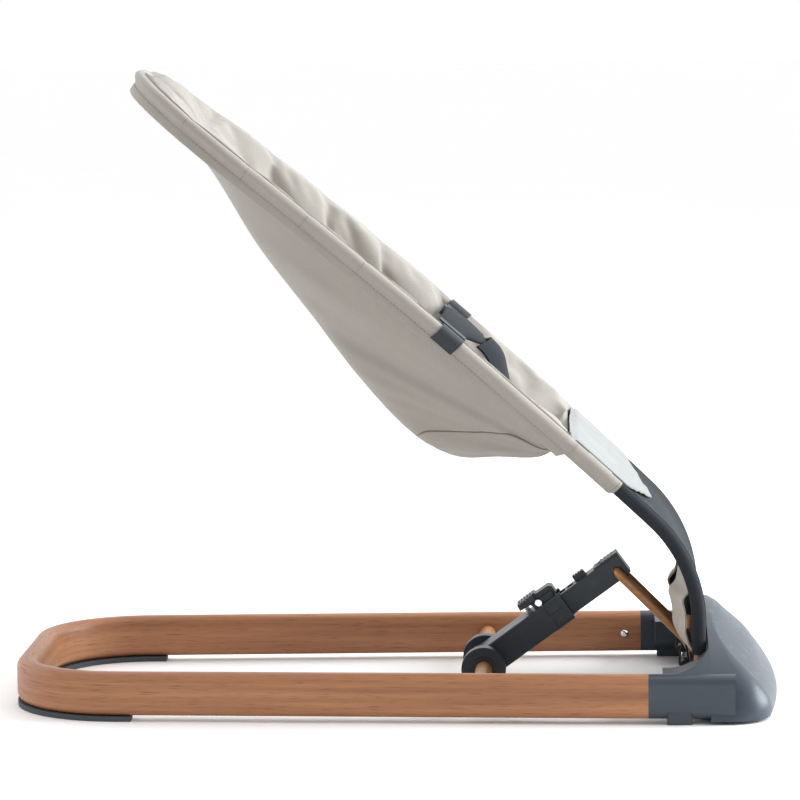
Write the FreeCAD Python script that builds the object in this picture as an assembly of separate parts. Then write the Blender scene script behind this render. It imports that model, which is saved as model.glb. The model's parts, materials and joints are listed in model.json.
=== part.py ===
"""Baby bouncer seat: U-shaped floor base, reclining and bouncing seat frame, sewn cover and harness.

Millimetres, +Z up. The origin is on the floor under the middle of the base. +X points from the head
end to the foot end, +Y is the left side. Each piece of the object is written as parts/NODE.step.
"""
import FreeCAD
import Part

import math
import os

V = FreeCAD.Vector

# ---------------------------------------------------------------- driving dimensions
# Floor base
BASE_FRONT_X = 373.5
RAIL_HEIGHT = 42.0
RAIL_WIDTH = 21.0
RAIL_WALL = 1.6
RAIL_EDGE_RADIUS = 9.0
RAIL_CENTRE_Z = 26.0
RAIL_END_X = 243.5
RAIL_REAR_X = -363.0
RAIL_HALF_WIDTH_FRONT = 189.5
RAIL_HALF_WIDTH_REAR = 163.3
BASE_CORNER_RADIUS = 100.0
CROSS_TUBE_RADIUS = 8.25
CROSS_TUBE_WALL = 1.5

# Front housing
HOUSING_WALL = 2.6
HOUSING_BOTTOM_Z = 3.0
HOUSING_BACK_X = 302.0
HOUSING_SIDE_Y = 200.0
ARCH_HEIGHT = 88.0
SHELF_BACK_X = 287.0
SHELF_TOP_Z = 40.5
WING_SETBACK = 0.3
PEG_CENTRE = V(281.5, 45.0, 33.0)
PEG_RADIUS = 3.0
ELASTIC_RADIUS = 1.1

# Recline linkage
ARM_PIVOT = V(84.5, 0, RAIL_CENTRE_Z)
ARM_ANGLE = 36.0
BAIL_PIVOT = V(217.4, 0, 118.6)
RECLINE_AXIS = V(295.5, 0, 30.0)
CROSSBAR_RADIUS = 5.0
BAIL_RADIUS = 4.75
BAIL_LEG_Y = 20.0
LEG_Y = 121.0
LOWER_ARM = {"height": 28.7, "width": 43.0, "mouth": 102.0}
UPPER_ARM = {"height": 23.7, "width": 28.0, "inner_end": 46.0, "outer_end": 170.5}
TELESCOPE_GAP = 1.0
NOTCH_PITCH = 9.6
TOOTH_X = 95.2

# Seat frame
SEAT_HEAD = V(-251.0, 0, 613.0)
SEAT_START_ANGLE = math.radians(37.3)
BACK_RADIUS = 6000.0
BACK_LENGTH = 659.0
BEND_RADIUS = 140.0
TUBE_RADIUS = 5.0
TUBE_WALL = 1.0
SLEEVE_GAP = 0.3
SLEEVE_THICKNESS = 0.8
FRAME_JOINT_Z = 60.0
HEAD_LENGTH = 150.0
# distance along the side profile from the head, half width of the frame there
HALF_WIDTHS = [(150.0, 150.0), (300.0, 152.5), (480.0, 150.0), (572.0, 138.0),
               (668.0, 129.0), (772.0, 121.0), (900.0, 121.0)]

# Sewn cover: x, drop of its middle below the frame, half width at the seam, rise of the seam
SLING_STATIONS = [(-222.0, 16.0, 60.0, 3.0), (-180.0, 30.0, 90.0, 5.0), (-131.0, 74.0, 98.0, 7.0),
                  (-79.0, 103.0, 100.0, 8.0), (-17.0, 132.0, 100.0, 9.0), (28.0, 139.0, 101.0, 12.0),
                  (60.0, 128.0, 102.0, 20.0), (100.0, 93.0, 102.0, 20.0), (140.0, 57.0, 100.0, 18.0),
                  (165.0, 24.0, 96.0, 8.0)]
SLING_THICKNESS = 3.0
PAD_THICKNESS = 9.0
SHEET_THICKNESS = 3.0


# ---------------------------------------------------------------- helpers
def write(name, shape):
    """Write one node, after a check that it is sound."""
    if not shape.isValid() or shape.Volume <= 0:
        raise ValueError(name + " is not a sound solid")
    shape.exportStep(os.path.join("parts", name + ".step"))
    print("%-26s %9.1f mm3  %d solid(s)" % (name, shape.Volume, len(shape.Solids)))


def write_pair(name, left):
    """Write a piece of the left side and its mirror image on the right."""
    write(name + "_left", left)
    write(name + "_right", mirrored(left))


def mirrored(shape):
    return shape.mirror(V(0, 0, 0), V(0, 1, 0))


def both_sides(shape):
    return Part.makeCompound([shape, mirrored(shape)])


def box(x, y, z):
    """A box from its (low, high) pairs."""
    return Part.makeBox(x[1] - x[0], y[1] - y[0], z[1] - z[0], V(x[0], y[0], z[0]))


def rod(start, end, radius):
    return Part.makeCylinder(radius, (end - start).Length, start, end - start)


def tube(start, end, radius, bore):
    return rod(start, end, radius).cut(rod(start, end, bore))


def polygon(points):
    return Part.makePolygon(list(points) + [points[0]])


def plate_xz(points, y):
    """A flat XZ outline, given as (x, z) pairs, extruded from y[0] to y[1]."""
    face = Part.Face(polygon([V(px, y[0], pz) for px, pz in points]))
    return face.extrude(V(0, y[1] - y[0], 0))


def rounded_wire(points, radii):
    """Straight runs through the points, with a tangent arc of the given radius at each inner point."""
    edges = []
    start = points[0]
    for before, corner, after, radius in zip(points, points[1:], points[2:], radii):
        along = (corner - before).normalize()
        onward = (after - corner).normalize()
        turn = along.getAngle(onward)
        if turn < 1e-4:
            continue
        reach = radius * math.tan(turn / 2)
        inward = (onward - along).normalize()
        arc_start = corner - along * reach
        arc_end = corner + onward * reach
        middle = corner + inward * (radius / math.cos(turn / 2) - radius)
        edges.append(Part.LineSegment(start, arc_start).toShape())
        edges.append(Part.Arc(arc_start, middle, arc_end).toShape())
        start = arc_end
    edges.append(Part.LineSegment(start, points[-1]).toShape())
    return Part.Wire(edges)


def smooth_radii(points):
    """The largest tangent radius that each corner of a route has room for."""
    radii = []
    for before, corner, after in zip(points, points[1:], points[2:]):
        turn = (corner - before).getAngle(after - corner)
        run = min((corner - before).Length, (after - corner).Length)
        radii.append(0.45 * run / math.tan(turn / 2))
    return radii


def swept_round(wire, radius):
    """A round bar along a wire."""
    first = wire.OrderedEdges[0]
    start = first.valueAt(first.FirstParameter)
    circle = Part.Wire(Part.makeCircle(radius, start, first.tangentAt(first.FirstParameter)))
    return wire.makePipeShell([circle], True, False)


def slab_section(half_width, half_height, radius, centre, along):
    """A closed rounded rectangle that stands upright across a horizontal direction."""
    side = V(-along.y, along.x, 0).normalize()
    corners = []
    for sy, sz in ((1, 1), (-1, 1), (-1, -1), (1, -1)):
        corners.append((side * (sy * half_width), V(0, 0, sz * half_height), sy, sz))
    edges = []
    for index, (dy, dz, sy, sz) in enumerate(corners):
        corner = centre + dy + dz
        back = corner - side * (sy * radius)
        down = corner - V(0, 0, sz * radius)
        middle = corner - (side * sy + V(0, 0, sz)) * (radius * (1 - math.sqrt(0.5)))
        first, last = (down, back) if index % 2 == 0 else (back, down)
        edges.append((first, middle, last))
    wire = []
    for index, (first, middle, last) in enumerate(edges):
        wire.append(Part.Arc(first, middle, last).toShape())
        following = edges[(index + 1) % 4][0]
        wire.append(Part.LineSegment(last, following).toShape())
    return Part.Wire(wire)


# ---------------------------------------------------------------- floor base
def rail_half_width(x):
    """Half width of the base at the centre of the rail's tube."""
    share = (x - RAIL_REAR_X) / (RAIL_END_X - RAIL_REAR_X)
    return RAIL_HALF_WIDTH_REAR + share * (RAIL_HALF_WIDTH_FRONT - RAIL_HALF_WIDTH_REAR)


def base_route():
    y_front, y_rear = RAIL_HALF_WIDTH_FRONT, RAIL_HALF_WIDTH_REAR
    points = [V(RAIL_END_X, y_front, RAIL_CENTRE_Z), V(RAIL_REAR_X, y_rear, RAIL_CENTRE_Z),
              V(RAIL_REAR_X, -y_rear, RAIL_CENTRE_Z), V(RAIL_END_X, -y_front, RAIL_CENTRE_Z)]
    return rounded_wire(points, [BASE_CORNER_RADIUS, BASE_CORNER_RADIUS])


def base_bar(inset):
    """The U-shaped bar of the base, made smaller by an inset."""
    wire = base_route()
    start = V(RAIL_END_X, RAIL_HALF_WIDTH_FRONT, RAIL_CENTRE_Z)
    along = V(RAIL_REAR_X, RAIL_HALF_WIDTH_REAR, RAIL_CENTRE_Z) - start
    section = slab_section(RAIL_WIDTH / 2 - inset, RAIL_HEIGHT / 2 - inset,
                           RAIL_EDGE_RADIUS - inset, start, along)
    return wire.makePipeShell([section], True, False)


def rail_screw_place():
    x = 226.7
    return V(x, rail_half_width(x) - RAIL_WIDTH / 2 - 0.25, 24.5)


def base_tube():
    shell = base_bar(0).cut(base_bar(RAIL_WALL))
    screw = rail_screw_place()
    hole = rod(screw - V(0, 3, 0), screw + V(0, 5, 0), 2.2)
    cross_x = ARM_PIVOT.x
    wall = V(cross_x, rail_half_width(cross_x) - RAIL_WIDTH / 2, RAIL_CENTRE_Z)
    socket = rod(wall - V(0, 2, 0), wall + V(0, 1.4, 0), CROSS_TUBE_RADIUS)
    cuts = [both_sides(hole), both_sides(socket), both_sides(pad_screws())]
    return shell.cut(Part.makeCompound(cuts))


def rear_foot_pad():
    """Rubber pad under one rear corner, a little wider than the tube."""
    centre = V(RAIL_REAR_X + BASE_CORNER_RADIUS, RAIL_HALF_WIDTH_REAR - BASE_CORNER_RADIUS + 4.3, 0)
    outer = BASE_CORNER_RADIUS + RAIL_WIDTH / 2 - 0.5
    inner = BASE_CORNER_RADIUS - RAIL_WIDTH / 2 - 1.5
    height = RAIL_CENTRE_Z - RAIL_HEIGHT / 2
    ring = Part.makeCylinder(outer, height, centre).cut(Part.makeCylinder(inner, height, centre))
    pad = ring.common(box((centre.x - 150, centre.x), (centre.y, centre.y + 150), (0, height)))
    tail = box((centre.x - 1, centre.x + 12), (centre.y + inner, centre.y + outer), (0, height))
    return pad.fuse(tail).removeSplitter()


def pad_screws():
    """Two countersunk screws up through each rear pad into the tube."""
    screws = []
    for degrees in (110, 160):
        angle = math.radians(degrees)
        x = RAIL_REAR_X + BASE_CORNER_RADIUS * (1 + math.cos(angle))
        y = RAIL_HALF_WIDTH_REAR - BASE_CORNER_RADIUS * (1 - math.sin(angle)) + 4.0
        shank = rod(V(x, y, 1.5), V(x, y, 6.2), 1.8)
        head = Part.makeCone(3.4, 1.8, 1.8, V(x, y, 1.5))
        screws.append(shank.fuse(head))
    return Part.makeCompound(screws)


def cross_tube():
    half = rail_half_width(ARM_PIVOT.x) - RAIL_WIDTH / 2 + 1.2
    start = ARM_PIVOT - V(0, half, 0)
    end = ARM_PIVOT + V(0, half, 0)
    return tube(start, end, CROSS_TUBE_RADIUS, CROSS_TUBE_RADIUS - CROSS_TUBE_WALL)


def rail_screw():
    """Button-head screw with a hex socket, on the inner face of a rail."""
    place = rail_screw_place()
    head = Part.makeSphere(4.6, place + V(0, 2.4, 0)).common(
        box((place.x - 5, place.x + 5), (place.y - 2.4, place.y), (place.z - 5, place.z + 5)))
    hexagon = [V(place.x + 1.5 * math.cos(math.radians(60 * i)), place.y - 3,
                 place.z + 1.5 * math.sin(math.radians(60 * i))) for i in range(6)]
    socket = Part.Face(polygon(hexagon)).extrude(V(0, 2.4, 0))
    shank = rod(place, place + V(0, 6.0, 0), 2.0)
    return head.cut(socket).fuse(shank)


def rail_insert():
    """Brass insert in the housing's spigot that the rail screw bites in."""
    place = rail_screw_place()
    return tube(place + V(0, 2.6, 0), place + V(0, 9.0, 0), 3.6, 2.0)


# ---------------------------------------------------------------- front housing
def arch_half_width(z):
    """Half width of the arched body at a height."""
    return HOUSING_SIDE_Y * math.sqrt(max(0.0, 1 - (z / ARCH_HEIGHT) ** 2))


def housing_section(z, nose, crease_x, corner, inset):
    """One level of the housing body: back line, sides, corner arcs and a bowed nose."""
    side = min(arch_half_width(z), HOUSING_SIDE_Y) - inset
    back = HOUSING_BACK_X + inset
    crease_y = side - corner * 0.86
    side_x = crease_x - inset - corner * 0.99
    turn = 0.7071 * corner
    points = [V(back, side, z), V(side_x, side, z), V(crease_x - inset, crease_y, z)]
    middle = V(side_x + turn * 0.99, side - (corner - turn) * 0.86, z)
    front = V(nose - inset, 0, z)

    def flip(point):
        return V(point.x, -point.y, point.z)

    edges = [Part.LineSegment(points[0], points[1]).toShape(),
             Part.Arc(points[1], middle, points[2]).toShape(),
             Part.Arc(points[2], front, flip(points[2])).toShape(),
             Part.Arc(flip(points[2]), flip(middle), flip(points[1])).toShape(),
             Part.LineSegment(flip(points[1]), flip(points[0])).toShape(),
             Part.LineSegment(flip(points[0]), points[0]).toShape()]
    return Part.Wire(edges)


def housing_body(inset, top_cut):
    """The arched body in front of the seat, from level sections."""
    levels = [(HOUSING_BOTTOM_Z, 371.0, 360.0, 42.0), (10.0, 373.5, 362.0, 40.0),
              (28.0, 365.0, 355.0, 26.0), (47.0, 352.5, 337.0, 12.0), (60.0, 341.0, 323.0, 6.0),
              (74.0, 326.5, 311.5, 3.0), (84.0, 315.0, 307.5, 1.5)]
    wires = []
    for z, nose, crease_x, corner in levels:
        if z < top_cut:
            wires.append(housing_section(z, nose, crease_x, corner, inset))
    return Part.makeLoft(wires, True, False)


def crown():
    """Rounded top of the arch, over the last level section."""
    low = housing_section(84.0, 315.0, 307.5, 1.5, 0.0)
    mid = housing_section(86.6, 312.0, 306.5, 0.8, 0.3)
    top = housing_section(87.7, 309.0, 305.5, 0.4, 0.7)
    return Part.makeLoft([low, mid, top], True, True)


def rail_extension(inset):
    """The housing's arm that carries on from one rail."""
    start = V(RAIL_END_X, RAIL_HALF_WIDTH_FRONT, RAIL_CENTRE_Z)
    along = V(RAIL_REAR_X, RAIL_HALF_WIDTH_REAR, RAIL_CENTRE_Z) - start
    section = slab_section(RAIL_WIDTH / 2 - inset, RAIL_HEIGHT / 2 - inset,
                           RAIL_EDGE_RADIUS - inset, start, along)
    return Part.Face(section).extrude(V(82, 0, 0))


def wing():
    """The shoulder that sweeps up from a rail to the arch, beside the seat's tube."""
    sweep = Part.Arc(V(258, 136, 44), V(286, 136, 50), V(304, 136, 66)).toShape()
    low = [V(304, 136, 66), V(304, 136, 22), V(258, 136, 22), V(258, 136, 44)]
    edges = [sweep] + [Part.LineSegment(a, b).toShape() for a, b in zip(low, low[1:])]
    solid = Part.Face(Part.Wire(edges)).extrude(V(0, 62, 0))
    arch_edges = []
    heights = [20.0, 36.0, 50.0, 66.0]
    curve = Part.BSplineCurve()
    curve.interpolate([V(250, arch_half_width(z) - WING_SETBACK, z) for z in heights])
    arch_edges.append(curve.toShape())
    top = V(250, arch_half_width(66.0) - WING_SETBACK, 66)
    bottom = V(250, arch_half_width(20.0) - WING_SETBACK, 20)
    frame = [top, V(250, 100, 66), V(250, 100, 20), bottom]
    arch_edges += [Part.LineSegment(a, b).toShape() for a, b in zip(frame, frame[1:])]
    under_arch = Part.Face(Part.Wire(arch_edges)).extrude(V(60, 0, 0))
    hollow = plate_xz([(275, 20), (275, 34), (304, 42), (304, 20)], (138.6, 170))
    return solid.common(under_arch).cut(hollow)


def shelf(inset):
    """The bar between the rails that the crossbar runs in."""
    return box((SHELF_BACK_X + inset, HOUSING_BACK_X + 4), (-176 + inset, 176 - inset),
               (HOUSING_BOTTOM_Z, SHELF_TOP_Z - inset))


def front_housing():
    outer = housing_body(0.0, 85.0).fuse([shelf(0.0), crown()])
    inner = housing_body(HOUSING_WALL, 80.0).fuse(shelf(HOUSING_WALL))
    shell = outer.cut(inner)
    spigot = rail_spigot()
    sides = rail_extension(0.0).fuse([wing(), spigot])
    sides = sides.cut(housing_body(HOUSING_WALL, 80.0))
    sides = sides.cut(Part.makeCompound([grip_recess(), insert_pocket()]))
    shell = shell.fuse([sides, mirrored(sides)])
    slots = [box((270, 301), (LEG_Y - 7, LEG_Y + 7), (21, 60)),
             box((270, 301), (BAIL_LEG_Y - 7.5, BAIL_LEG_Y + 7.5), (21, 60))]
    bar_way = rod(RECLINE_AXIS + V(0, 130, 0), RECLINE_AXIS + V(0, 168, 0), CROSSBAR_RADIUS + 1.0)
    cuts = [both_sides(cut) for cut in slots + [bar_way]]
    return shell.cut(Part.makeCompound(cuts)).removeSplitter()


def rail_spigot():
    """Box that plugs into the rail's end."""
    inset = RAIL_WALL + 0.4
    start = V(RAIL_END_X, RAIL_HALF_WIDTH_FRONT, RAIL_CENTRE_Z)
    along = V(RAIL_REAR_X, RAIL_HALF_WIDTH_REAR, RAIL_CENTRE_Z) - start
    section = slab_section(RAIL_WIDTH / 2 - inset, RAIL_HEIGHT / 2 - inset,
                           RAIL_EDGE_RADIUS - inset, start, along)
    return Part.Face(section).extrude(along.normalize() * 32)


def insert_pocket():
    place = rail_screw_place()
    return rod(place + V(0, -1, 0), place + V(0, 9.0, 0), 3.6)


def grip_recess():
    return box((261, 284), (180.6, 202), (0, 12))


def front_grip_pad():
    """Rubber block let into the side of the housing's lower edge."""
    block = box((261, 284), (181, 199.6), (0, 11.8))
    upright = [edge for edge in block.Edges if abs(edge.tangentAt(edge.FirstParameter).z) > 0.9]
    return block.makeFillet(2.0, upright)


def nose_pads():
    """Two flat rubber feet under the nose."""
    foot = box((318, 352), (96, 128), (0, HOUSING_BOTTOM_Z))
    upright = [edge for edge in foot.Edges if abs(edge.tangentAt(edge.FirstParameter).z) > 0.9]
    return both_sides(foot.makeFillet(8.0, upright))


def base_plate():
    """Cover that closes the housing from below."""
    wire = housing_section(HOUSING_BOTTOM_Z, 371.0, 360.0, 42.0, HOUSING_WALL + 0.3)
    plate = Part.Face(wire).extrude(V(0, 0, 2.4))
    back = box((SHELF_BACK_X + HOUSING_WALL + 0.3, HOUSING_BACK_X + 6), (-173, 173),
               (HOUSING_BOTTOM_Z, HOUSING_BOTTOM_Z + 2.4))
    plate = plate.fuse(back)
    holes = [rod(V(x, y, 0), V(x, y, 8), 1.8) for x, y in plate_screw_places()]
    return plate.cut(Part.makeCompound(holes)).removeSplitter()


def plate_screw_places():
    return [(x, side * y) for x, y in ((312, 60), (312, 150), (352, 60)) for side in (-1, 1)]


def plate_screws():
    screws = []
    for x, y in plate_screw_places():
        head = rod(V(x, y, 1.4), V(x, y, 3.0), 3.2)
        screws.append(head.fuse(rod(V(x, y, 3.0), V(x, y, 9.0), 1.6)))
    return Part.makeCompound(screws)


def hinge_bearing():
    """Block that carries one end of the crossbar, screwed to the base plate."""
    top = RECLINE_AXIS.z + 7.0
    block = box((290.2, 302.4), (146, 158), (5.4, top))
    bore = rod(RECLINE_AXIS + V(0, 140, 0), RECLINE_AXIS + V(0, 165, 0), CROSSBAR_RADIUS + 0.05)
    return block.cut(bore)


def bearing_screws():
    screws = []
    for y in (148.6, 155.4):
        screws.append(rod(V(305.2, y, 5.4), V(305.2, y, 12.0), 1.6))
        screws.append(rod(V(305.2, y, 12.0), V(305.2, y, 13.6), 2.6))
    merged = screws[0].fuse(screws[1])
    other = screws[2].fuse(screws[3])
    return both_sides(Part.makeCompound([merged, other]))


def flap_peg():
    """Short pin between two ears on the shelf's back face, which an elastic loop hooks under."""
    pin = rod(PEG_CENTRE - V(0, 6, 0), PEG_CENTRE + V(0, 6, 0), PEG_RADIUS)
    x, z = PEG_CENTRE.x, PEG_CENTRE.z
    reach = PEG_RADIUS + 1.0
    outline = [(SHELF_BACK_X, z - reach), (x, z - reach), (x - reach, z - 1), (x - reach, z + 1),
               (x, z + reach), (SHELF_BACK_X, z + reach)]
    ears = [plate_xz(outline, (PEG_CENTRE.y + low, PEG_CENTRE.y + low + 1.8)) for low in (-7, 5.2)]
    return pin.fuse(ears).removeSplitter()


# ---------------------------------------------------------------- recline frame
def pivot_crossbar():
    half = V(0, 162, 0)
    return rod(RECLINE_AXIS - half, RECLINE_AXIS + half, CROSSBAR_RADIUS)


def crossbar_clips():
    """Spring clips that hold the crossbar endways, just outside its bearings."""
    start = RECLINE_AXIS + V(0, 158.6, 0)
    return both_sides(tube(start, start + V(0, 1.2, 0), 5.7, CROSSBAR_RADIUS))


def frame_leg():
    """Lower end of the seat frame, with the spigot that the upper tube plugs on."""
    x = profile_point(900.0)[0]
    leg = rod(V(x, LEG_Y, RECLINE_AXIS.z), V(x, LEG_Y, FRAME_JOINT_Z - 1.0), TUBE_RADIUS)
    spigot = rod(V(x, LEG_Y, FRAME_JOINT_Z - 2.0), V(x, LEG_Y, FRAME_JOINT_Z + 12.0), 3.3)
    bar = rod(RECLINE_AXIS, RECLINE_AXIS + V(0, 170, 0), CROSSBAR_RADIUS)
    return leg.fuse(spigot).cut(bar)


def bail_route():
    low_bend = V(284.5, 0, 52.0)
    side = V(0, BAIL_LEG_Y, 0)
    points = [RECLINE_AXIS - side, low_bend - side, BAIL_PIVOT - side,
              BAIL_PIVOT + side, low_bend + side, RECLINE_AXIS + side]
    return rounded_wire(points, [14.0, 6.0, 6.0, 14.0])


def bail_rod():
    bar = rod(RECLINE_AXIS - V(0, 60, 0), RECLINE_AXIS + V(0, 60, 0), CROSSBAR_RADIUS)
    return swept_round(bail_route(), BAIL_RADIUS).cut(bar)


# ---------------------------------------------------------------- telescopic arm
def arm_place(shape):
    """From the arm's own axes, x along it from its pivot, to its place."""
    placed = shape.copy()
    placed.rotate(V(0, 0, 0), V(0, 1, 0), -ARM_ANGLE)
    placed.translate(ARM_PIVOT)
    return placed


def arm_box(x, width, height, edge):
    """A box along the arm with rounded long edges."""
    solid = box(x, (-width / 2, width / 2), (-height / 2, height / 2))
    long_edges = [e for e in solid.Edges if abs(e.tangentAt(e.FirstParameter).x) > 0.9]
    return solid.makeFillet(edge, long_edges)


def lower_arm():
    width, height, mouth = LOWER_ARM["width"], LOWER_ARM["height"], LOWER_ARM["mouth"]
    body = arm_box((0, mouth - 23), width, height, 1.5)
    neck = arm_box((mouth - 23, mouth), width - 6, height - 3.2, 1.0)
    barrel = rod(V(0, -31, 0), V(0, 31, 0), 15.0)
    disc = rod(V(0, 30, 0), V(0, 44, 0), 22.0)
    hub_bore = rod(V(0, -50, 0), V(0, 50, 0), 11.0)
    channel = box((18, mouth + 1), (-15, 15), (-12.85, 12.85))
    tooth_window = box((88, 99), (-10.5, 10.5), (10, 20))
    cheek = box((73.5, 97), (11.2, 14.2), (height / 2 - 1, 21.0))
    pin_hole = rod(V(80.5, -22, 18.2), V(80.5, 22, 18.2), 2.0)
    arm = body.fuse([neck, barrel, disc, mirrored(disc), cheek, mirrored(cheek)])
    arm = arm.cut(Part.makeCompound([hub_bore, channel, tooth_window]))
    return arm_place(arm.cut(pin_hole).removeSplitter())


def arm_collar():
    """Guide collar over the arm's mouth, with two framed recesses on each side."""
    width, height, mouth = LOWER_ARM["width"], LOWER_ARM["height"], LOWER_ARM["mouth"]
    collar = arm_box((mouth - 23, mouth), width + 1.0, height + 0.6, 1.5)
    inner = arm_box((mouth - 24, mouth + 1), width - 6, height - 3.2, 1.0)
    recesses = []
    for low, high in ((-12.4, -1.2), (1.2, 12.4)):
        recesses.append(box((mouth - 20, mouth - 4), (width / 2 - 1.0, width), (low, high)))
    opening = box((mouth - 24, mouth + 1), (-14.4, 14.4), (10, 20)).fuse(
        box((mouth - 24, mouth - 15), (-19, 19), (height / 2 - 0.1, 20)))
    cuts = [inner, opening] + recesses + [mirrored(r) for r in recesses]
    return arm_place(collar.cut(Part.makeCompound(cuts)))


def hub_bush():
    """Plain bush with a lip, between the arm's hub and the cross tube."""
    sleeve = tube(V(0, 24, 0), V(0, 44, 0), 11.0, CROSS_TUBE_RADIUS + 0.05)
    lip = tube(V(0, 44, 0), V(0, 45.4, 0), 12.6, CROSS_TUBE_RADIUS + 0.05)
    return arm_place(sleeve.fuse(lip))


def latch_pin():
    """Cross-head screw that the latch turns on."""
    shank = rod(V(80.5, -15.4, 18.2), V(80.5, 15.0, 18.2), 1.95)
    head = Part.makeSphere(5.4, V(80.5, -13.2, 18.2)).common(
        box((74, 87), (-17.6, -14.3), (11, 24)))
    head = head.common(rod(V(80.5, -20, 18.2), V(80.5, -10, 18.2), 3.8))
    slots = [box((78, 83), (-18, -16.6), (17.7, 18.7)), box((80, 81), (-18, -16.6), (15.7, 20.7))]
    return arm_place(shank.fuse(head).cut(Part.makeCompound(slots)))


def latch_lever():
    """Rocker: ribbed press pad behind the pin, tooth block in front of it."""
    outline = [(60.5, 21.6), (61.5, 28.4), (81.5, 28.8), (83.0, 26.6), (97.0, 26.2), (100.4, 23.6),
               (100.6, 16.0), (98.2, 15.2), (98.2, 12.4), (92.2, 12.4), (92.2, 15.2), (84.0, 15.2),
               (82.0, 15.0), (74.0, 15.6), (72.0, 20.4)]
    rocker = plate_xz(outline, (-10.4, 10.4))
    pad = plate_xz([(60.5, 22.2), (61.5, 28.4), (80.0, 28.8), (80.0, 22.2)], (-15.0, 15.0))
    grooves = [box((63.5 + 3.4 * i, 64.9 + 3.4 * i), (-16, 16), (27.6, 30)) for i in range(5)]
    bore = rod(V(80.5, -16, 18.2), V(80.5, 16, 18.2), 2.0)
    lever = rocker.fuse(pad).cut(Part.makeCompound(grooves + [bore]))
    return arm_place(lever.removeSplitter())


def spring(start, end, radius, wire, turns):
    """A coil spring as a stack of linked rings round a thin core line."""
    axis = end - start
    rings = []
    for index in range(turns):
        centre = start + axis * ((index + 0.5) / turns)
        rings.append(Part.makeTorus(radius, wire, centre, axis))
    return Part.makeCompound(rings)


def latch_spring():
    return arm_place(spring(V(66.5, 0, 14.6), V(66.5, 0, 21.0), 2.6, 0.45, 4))


def upper_arm():
    width, height = UPPER_ARM["width"], UPPER_ARM["height"]
    arm = arm_box((UPPER_ARM["inner_end"], UPPER_ARM["outer_end"]), width, height, 1.2)
    bail = bail_in_arm()
    cuts = [rod(V(bail.x, -20, bail.z), V(bail.x, 20, bail.z), BAIL_RADIUS + 0.6)]
    for notch in range(3):
        x = TOOTH_X + notch * NOTCH_PITCH
        cuts.append(box((x - 3.4, x + 3.4), (-6.5, 6.5), (height / 2 - 4.5, height / 2 + 1)))
    cuts.append(box((121.0, 135.0), (-5.4, 5.4), (height / 2 - 7.5, height / 2 + 1)))
    for low in (50.0, 74.0):
        cuts.append(box((low, low + 20), (-10, 10), (-height / 2 - 1, 3.0)))
    cuts.append(rod(V(150, 0, height / 2 - 8), V(150, 0, height / 2 + 1), 1.7))
    return arm_place(arm.cut(Part.makeCompound(cuts)))


def bail_in_arm():
    """The bail's crossbar in the arm's own axes."""
    offset = BAIL_PIVOT - ARM_PIVOT
    angle = math.radians(ARM_ANGLE)
    return V(offset.x * math.cos(angle) + offset.z * math.sin(angle), 0,
             offset.z * math.cos(angle) - offset.x * math.sin(angle))


def end_clip():
    """Cap that hooks over the arm's end and keeps the bail in."""
    height = UPPER_ARM["height"] / 2
    end = UPPER_ARM["outer_end"]
    outline = [(144.0, height), (144.0, height + 1.6), (end + 1.8, height + 1.6),
               (end + 1.8, -height + 1.0), (end, -height + 1.0), (end, height)]
    clip = plate_xz(outline, (-13.0, 13.0))
    ribs = [box((153.0 + 4 * i, 154.6 + 4 * i), (-13, 13), (height + 1.0, height + 2.2))
            for i in range(4)]
    clip = clip.fuse(ribs)
    return arm_place(clip.cut(rod(V(150, 0, height - 2), V(150, 0, height + 3), 1.7)))


def end_clip_screw():
    height = UPPER_ARM["height"] / 2
    shank = rod(V(150, 0, height - 6.5), V(150, 0, height + 1.7), 1.65)
    head = rod(V(150, 0, height + 1.6), V(150, 0, height + 2.8), 3.0)
    return arm_place(shank.fuse(head))


def stop_button():
    """Sprung button that stops the arm from sliding in past its last notch."""
    height = UPPER_ARM["height"] / 2
    outline = [(121.5, height - 3.0), (121.5, height + 6.4), (122.6, height + 7.0),
               (133.2, height + 6.6), (134.5, height + 4.8), (134.5, height - 3.0)]
    button = plate_xz(outline, (-5.0, 5.0))
    grooves = [box((124 + 3 * i, 125.2 + 3 * i), (-6, 6), (height + 5.8, height + 8))
               for i in range(3)]
    return arm_place(button.cut(Part.makeCompound(grooves)))


def stop_spring():
    height = UPPER_ARM["height"] / 2
    return arm_place(spring(V(128, 0, height - 7.4), V(128, 0, height - 3.1), 2.4, 0.45, 3))


# ---------------------------------------------------------------- seat frame
def profile_point(s):
    """Side profile of the seat frame: x, z and the angle below level, s along it from the head."""
    first = min(s, BACK_LENGTH)
    angle = SEAT_START_ANGLE + first / BACK_RADIUS
    x = SEAT_HEAD.x + BACK_RADIUS * (math.sin(angle) - math.sin(SEAT_START_ANGLE))
    z = SEAT_HEAD.z + BACK_RADIUS * (math.cos(angle) - math.cos(SEAT_START_ANGLE))
    rest = s - first
    if rest > 0:
        bend = min(rest, BEND_RADIUS * (math.pi / 2 - angle))
        bent = angle + bend / BEND_RADIUS
        x += BEND_RADIUS * (math.sin(bent) - math.sin(angle))
        z += BEND_RADIUS * (math.cos(bent) - math.cos(angle))
        z -= rest - bend
        angle = bent
    return x, z, angle


def profile_s(x):
    """Distance along the straight part of the profile for an x."""
    sine = math.sin(SEAT_START_ANGLE) + (x - SEAT_HEAD.x) / BACK_RADIUS
    return (math.asin(sine) - SEAT_START_ANGLE) * BACK_RADIUS


def bottom_s(z):
    """Distance along the profile for a height on its upright lower end."""
    return 900.0 + profile_point(900.0)[1] - z


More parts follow.
